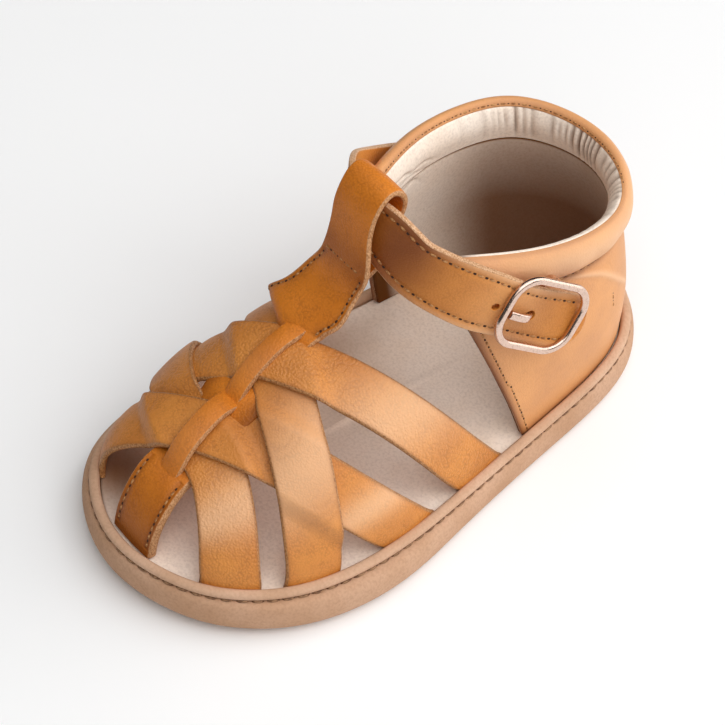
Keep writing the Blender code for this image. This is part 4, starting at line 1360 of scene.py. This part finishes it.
half_bar = BAR_ROWS * (BUCKLE_HALF_WIDTH, 1.0)
bow = np.vstack([half_bar, half_bar[-2::-1] * (-1, 1)])
bow_length = running_length(bow)
bow = spline(bow_length, bow, np.linspace(0, bow_length[-1], BAR_STEPS))
bar_path = at_buckle(np.column_stack([np.zeros(len(bow)), bow[:, 0] + FRAME_LIFT, bow[:, 1]]))
bar_rings = wire(bar_path, BAR_RADIUS, BAR_RADIUS, buckle_axes[0], BAR_SIDES)
cast("buckle_bar", bar_rings, "buckle_frame")

# Buckle prong: a flat tongue of the same metal, bent up from the bar.
# It comes up through the strap's hole and rests on the frame.

PRONG_HALF_WIDE = 0.9
PRONG_HALF_HIGH = 0.55
PRONG_STEPS = 48
PRONG_SIDES = 20
PRONG_POWER = 0.6
# Along the strap from the buckle's middle, outward.
PRONG_ROWS = np.array([
    (-1.8, -2.3),
    (-2.5, -2.1),
    (-2.9, -1.2),
    (-3.0, 0.0),
    (-3.1, 1.2),
    (-3.8, 2.1),
    (-9.0, 2.4),
])

prong_length = running_length(PRONG_ROWS)
prong = spline(prong_length, PRONG_ROWS, np.linspace(0, prong_length[-1], PRONG_STEPS))
prong_path = at_buckle(np.column_stack([prong[:, 0], np.zeros(len(prong)), prong[:, 1]]))
prong_up = np.cross(buckle_axes[1], unit(np.gradient(prong_path, axis=0)))
prong_rings = wire(prong_path, PRONG_HALF_WIDE, PRONG_HALF_HIGH, prong_up, PRONG_SIDES, power=PRONG_POWER)
cast("buckle_tongue", prong_rings, "buckle_prong")

# Stage: a pale floor under white studio light, and the camera at the photograph's angle.
# Large soft lights stand behind, to the right and above.

FLOOR_HALF = 1.6
WORLD_LIGHT = 0.05
LIT_POINT = Vector((0.0, 0.0, 0.03))
# Soft lights: name, place, size, watts.
SOFTBOXES = (
    ("rear_softbox", (0.56, 0.92, 0.66), 1.6, 15.0),
    ("right_softbox", (0.75, -0.26, 0.96), 1.4, 9.5),
    ("top_softbox", (0.0, 0.05, 1.25), 1.4, 7.5),
)
CAMERA_PLACE = (0.230347, -0.213090, 0.386746)
CAMERA_TURN = (40.69005, -1.95594, 50.24839)
CAMERA_LENS = 114.803

floor_mesh = bpy.data.meshes.new("studio_floor")
floor_corners = [(-FLOOR_HALF, -FLOOR_HALF, 0), (FLOOR_HALF, -FLOOR_HALF, 0)]
floor_corners += [(FLOOR_HALF, FLOOR_HALF, 0), (-FLOOR_HALF, FLOOR_HALF, 0)]
floor_mesh.from_pydata(floor_corners, [], [(0, 1, 2, 3)])
floor = bpy.data.objects.new("studio_floor", floor_mesh)
bpy.context.scene.collection.objects.link(floor)
paper, _, paper_shader = finish_material("white_paper")
paper_shader.inputs["Base Color"].default_value = (0.93, 0.93, 0.93, 1.0)
paper_shader.inputs["Roughness"].default_value = 0.9
floor_mesh.materials.append(paper)

world = bpy.data.worlds.new("studio")
bpy.context.scene.world = world
world.use_nodes = True
background = world.node_tree.nodes["Background"]
background.inputs["Color"].default_value = (1.0, 0.995, 0.985, 1.0)
background.inputs["Strength"].default_value = WORLD_LIGHT

for name, place, size, watts in SOFTBOXES:
    lamp = bpy.data.lights.new(name, "AREA")
    lamp.shape, lamp.size, lamp.energy = "SQUARE", size, watts
    softbox = bpy.data.objects.new(name, lamp)
    bpy.context.scene.collection.objects.link(softbox)
    softbox.location = place
    softbox.rotation_euler = (Vector(place) - LIT_POINT).to_track_quat("Z", "Y").to_euler()

camera = bpy.data.cameras.new("photo_camera")
camera.sensor_width = 36.0
camera.lens = CAMERA_LENS
view = bpy.data.objects.new("photo_camera", camera)
bpy.context.scene.collection.objects.link(view)
view.location = CAMERA_PLACE
view.rotation_euler = np.radians(CAMERA_TURN).tolist()
bpy.context.scene.camera = view
bpy.context.scene.view_settings.view_transform = "Standard"
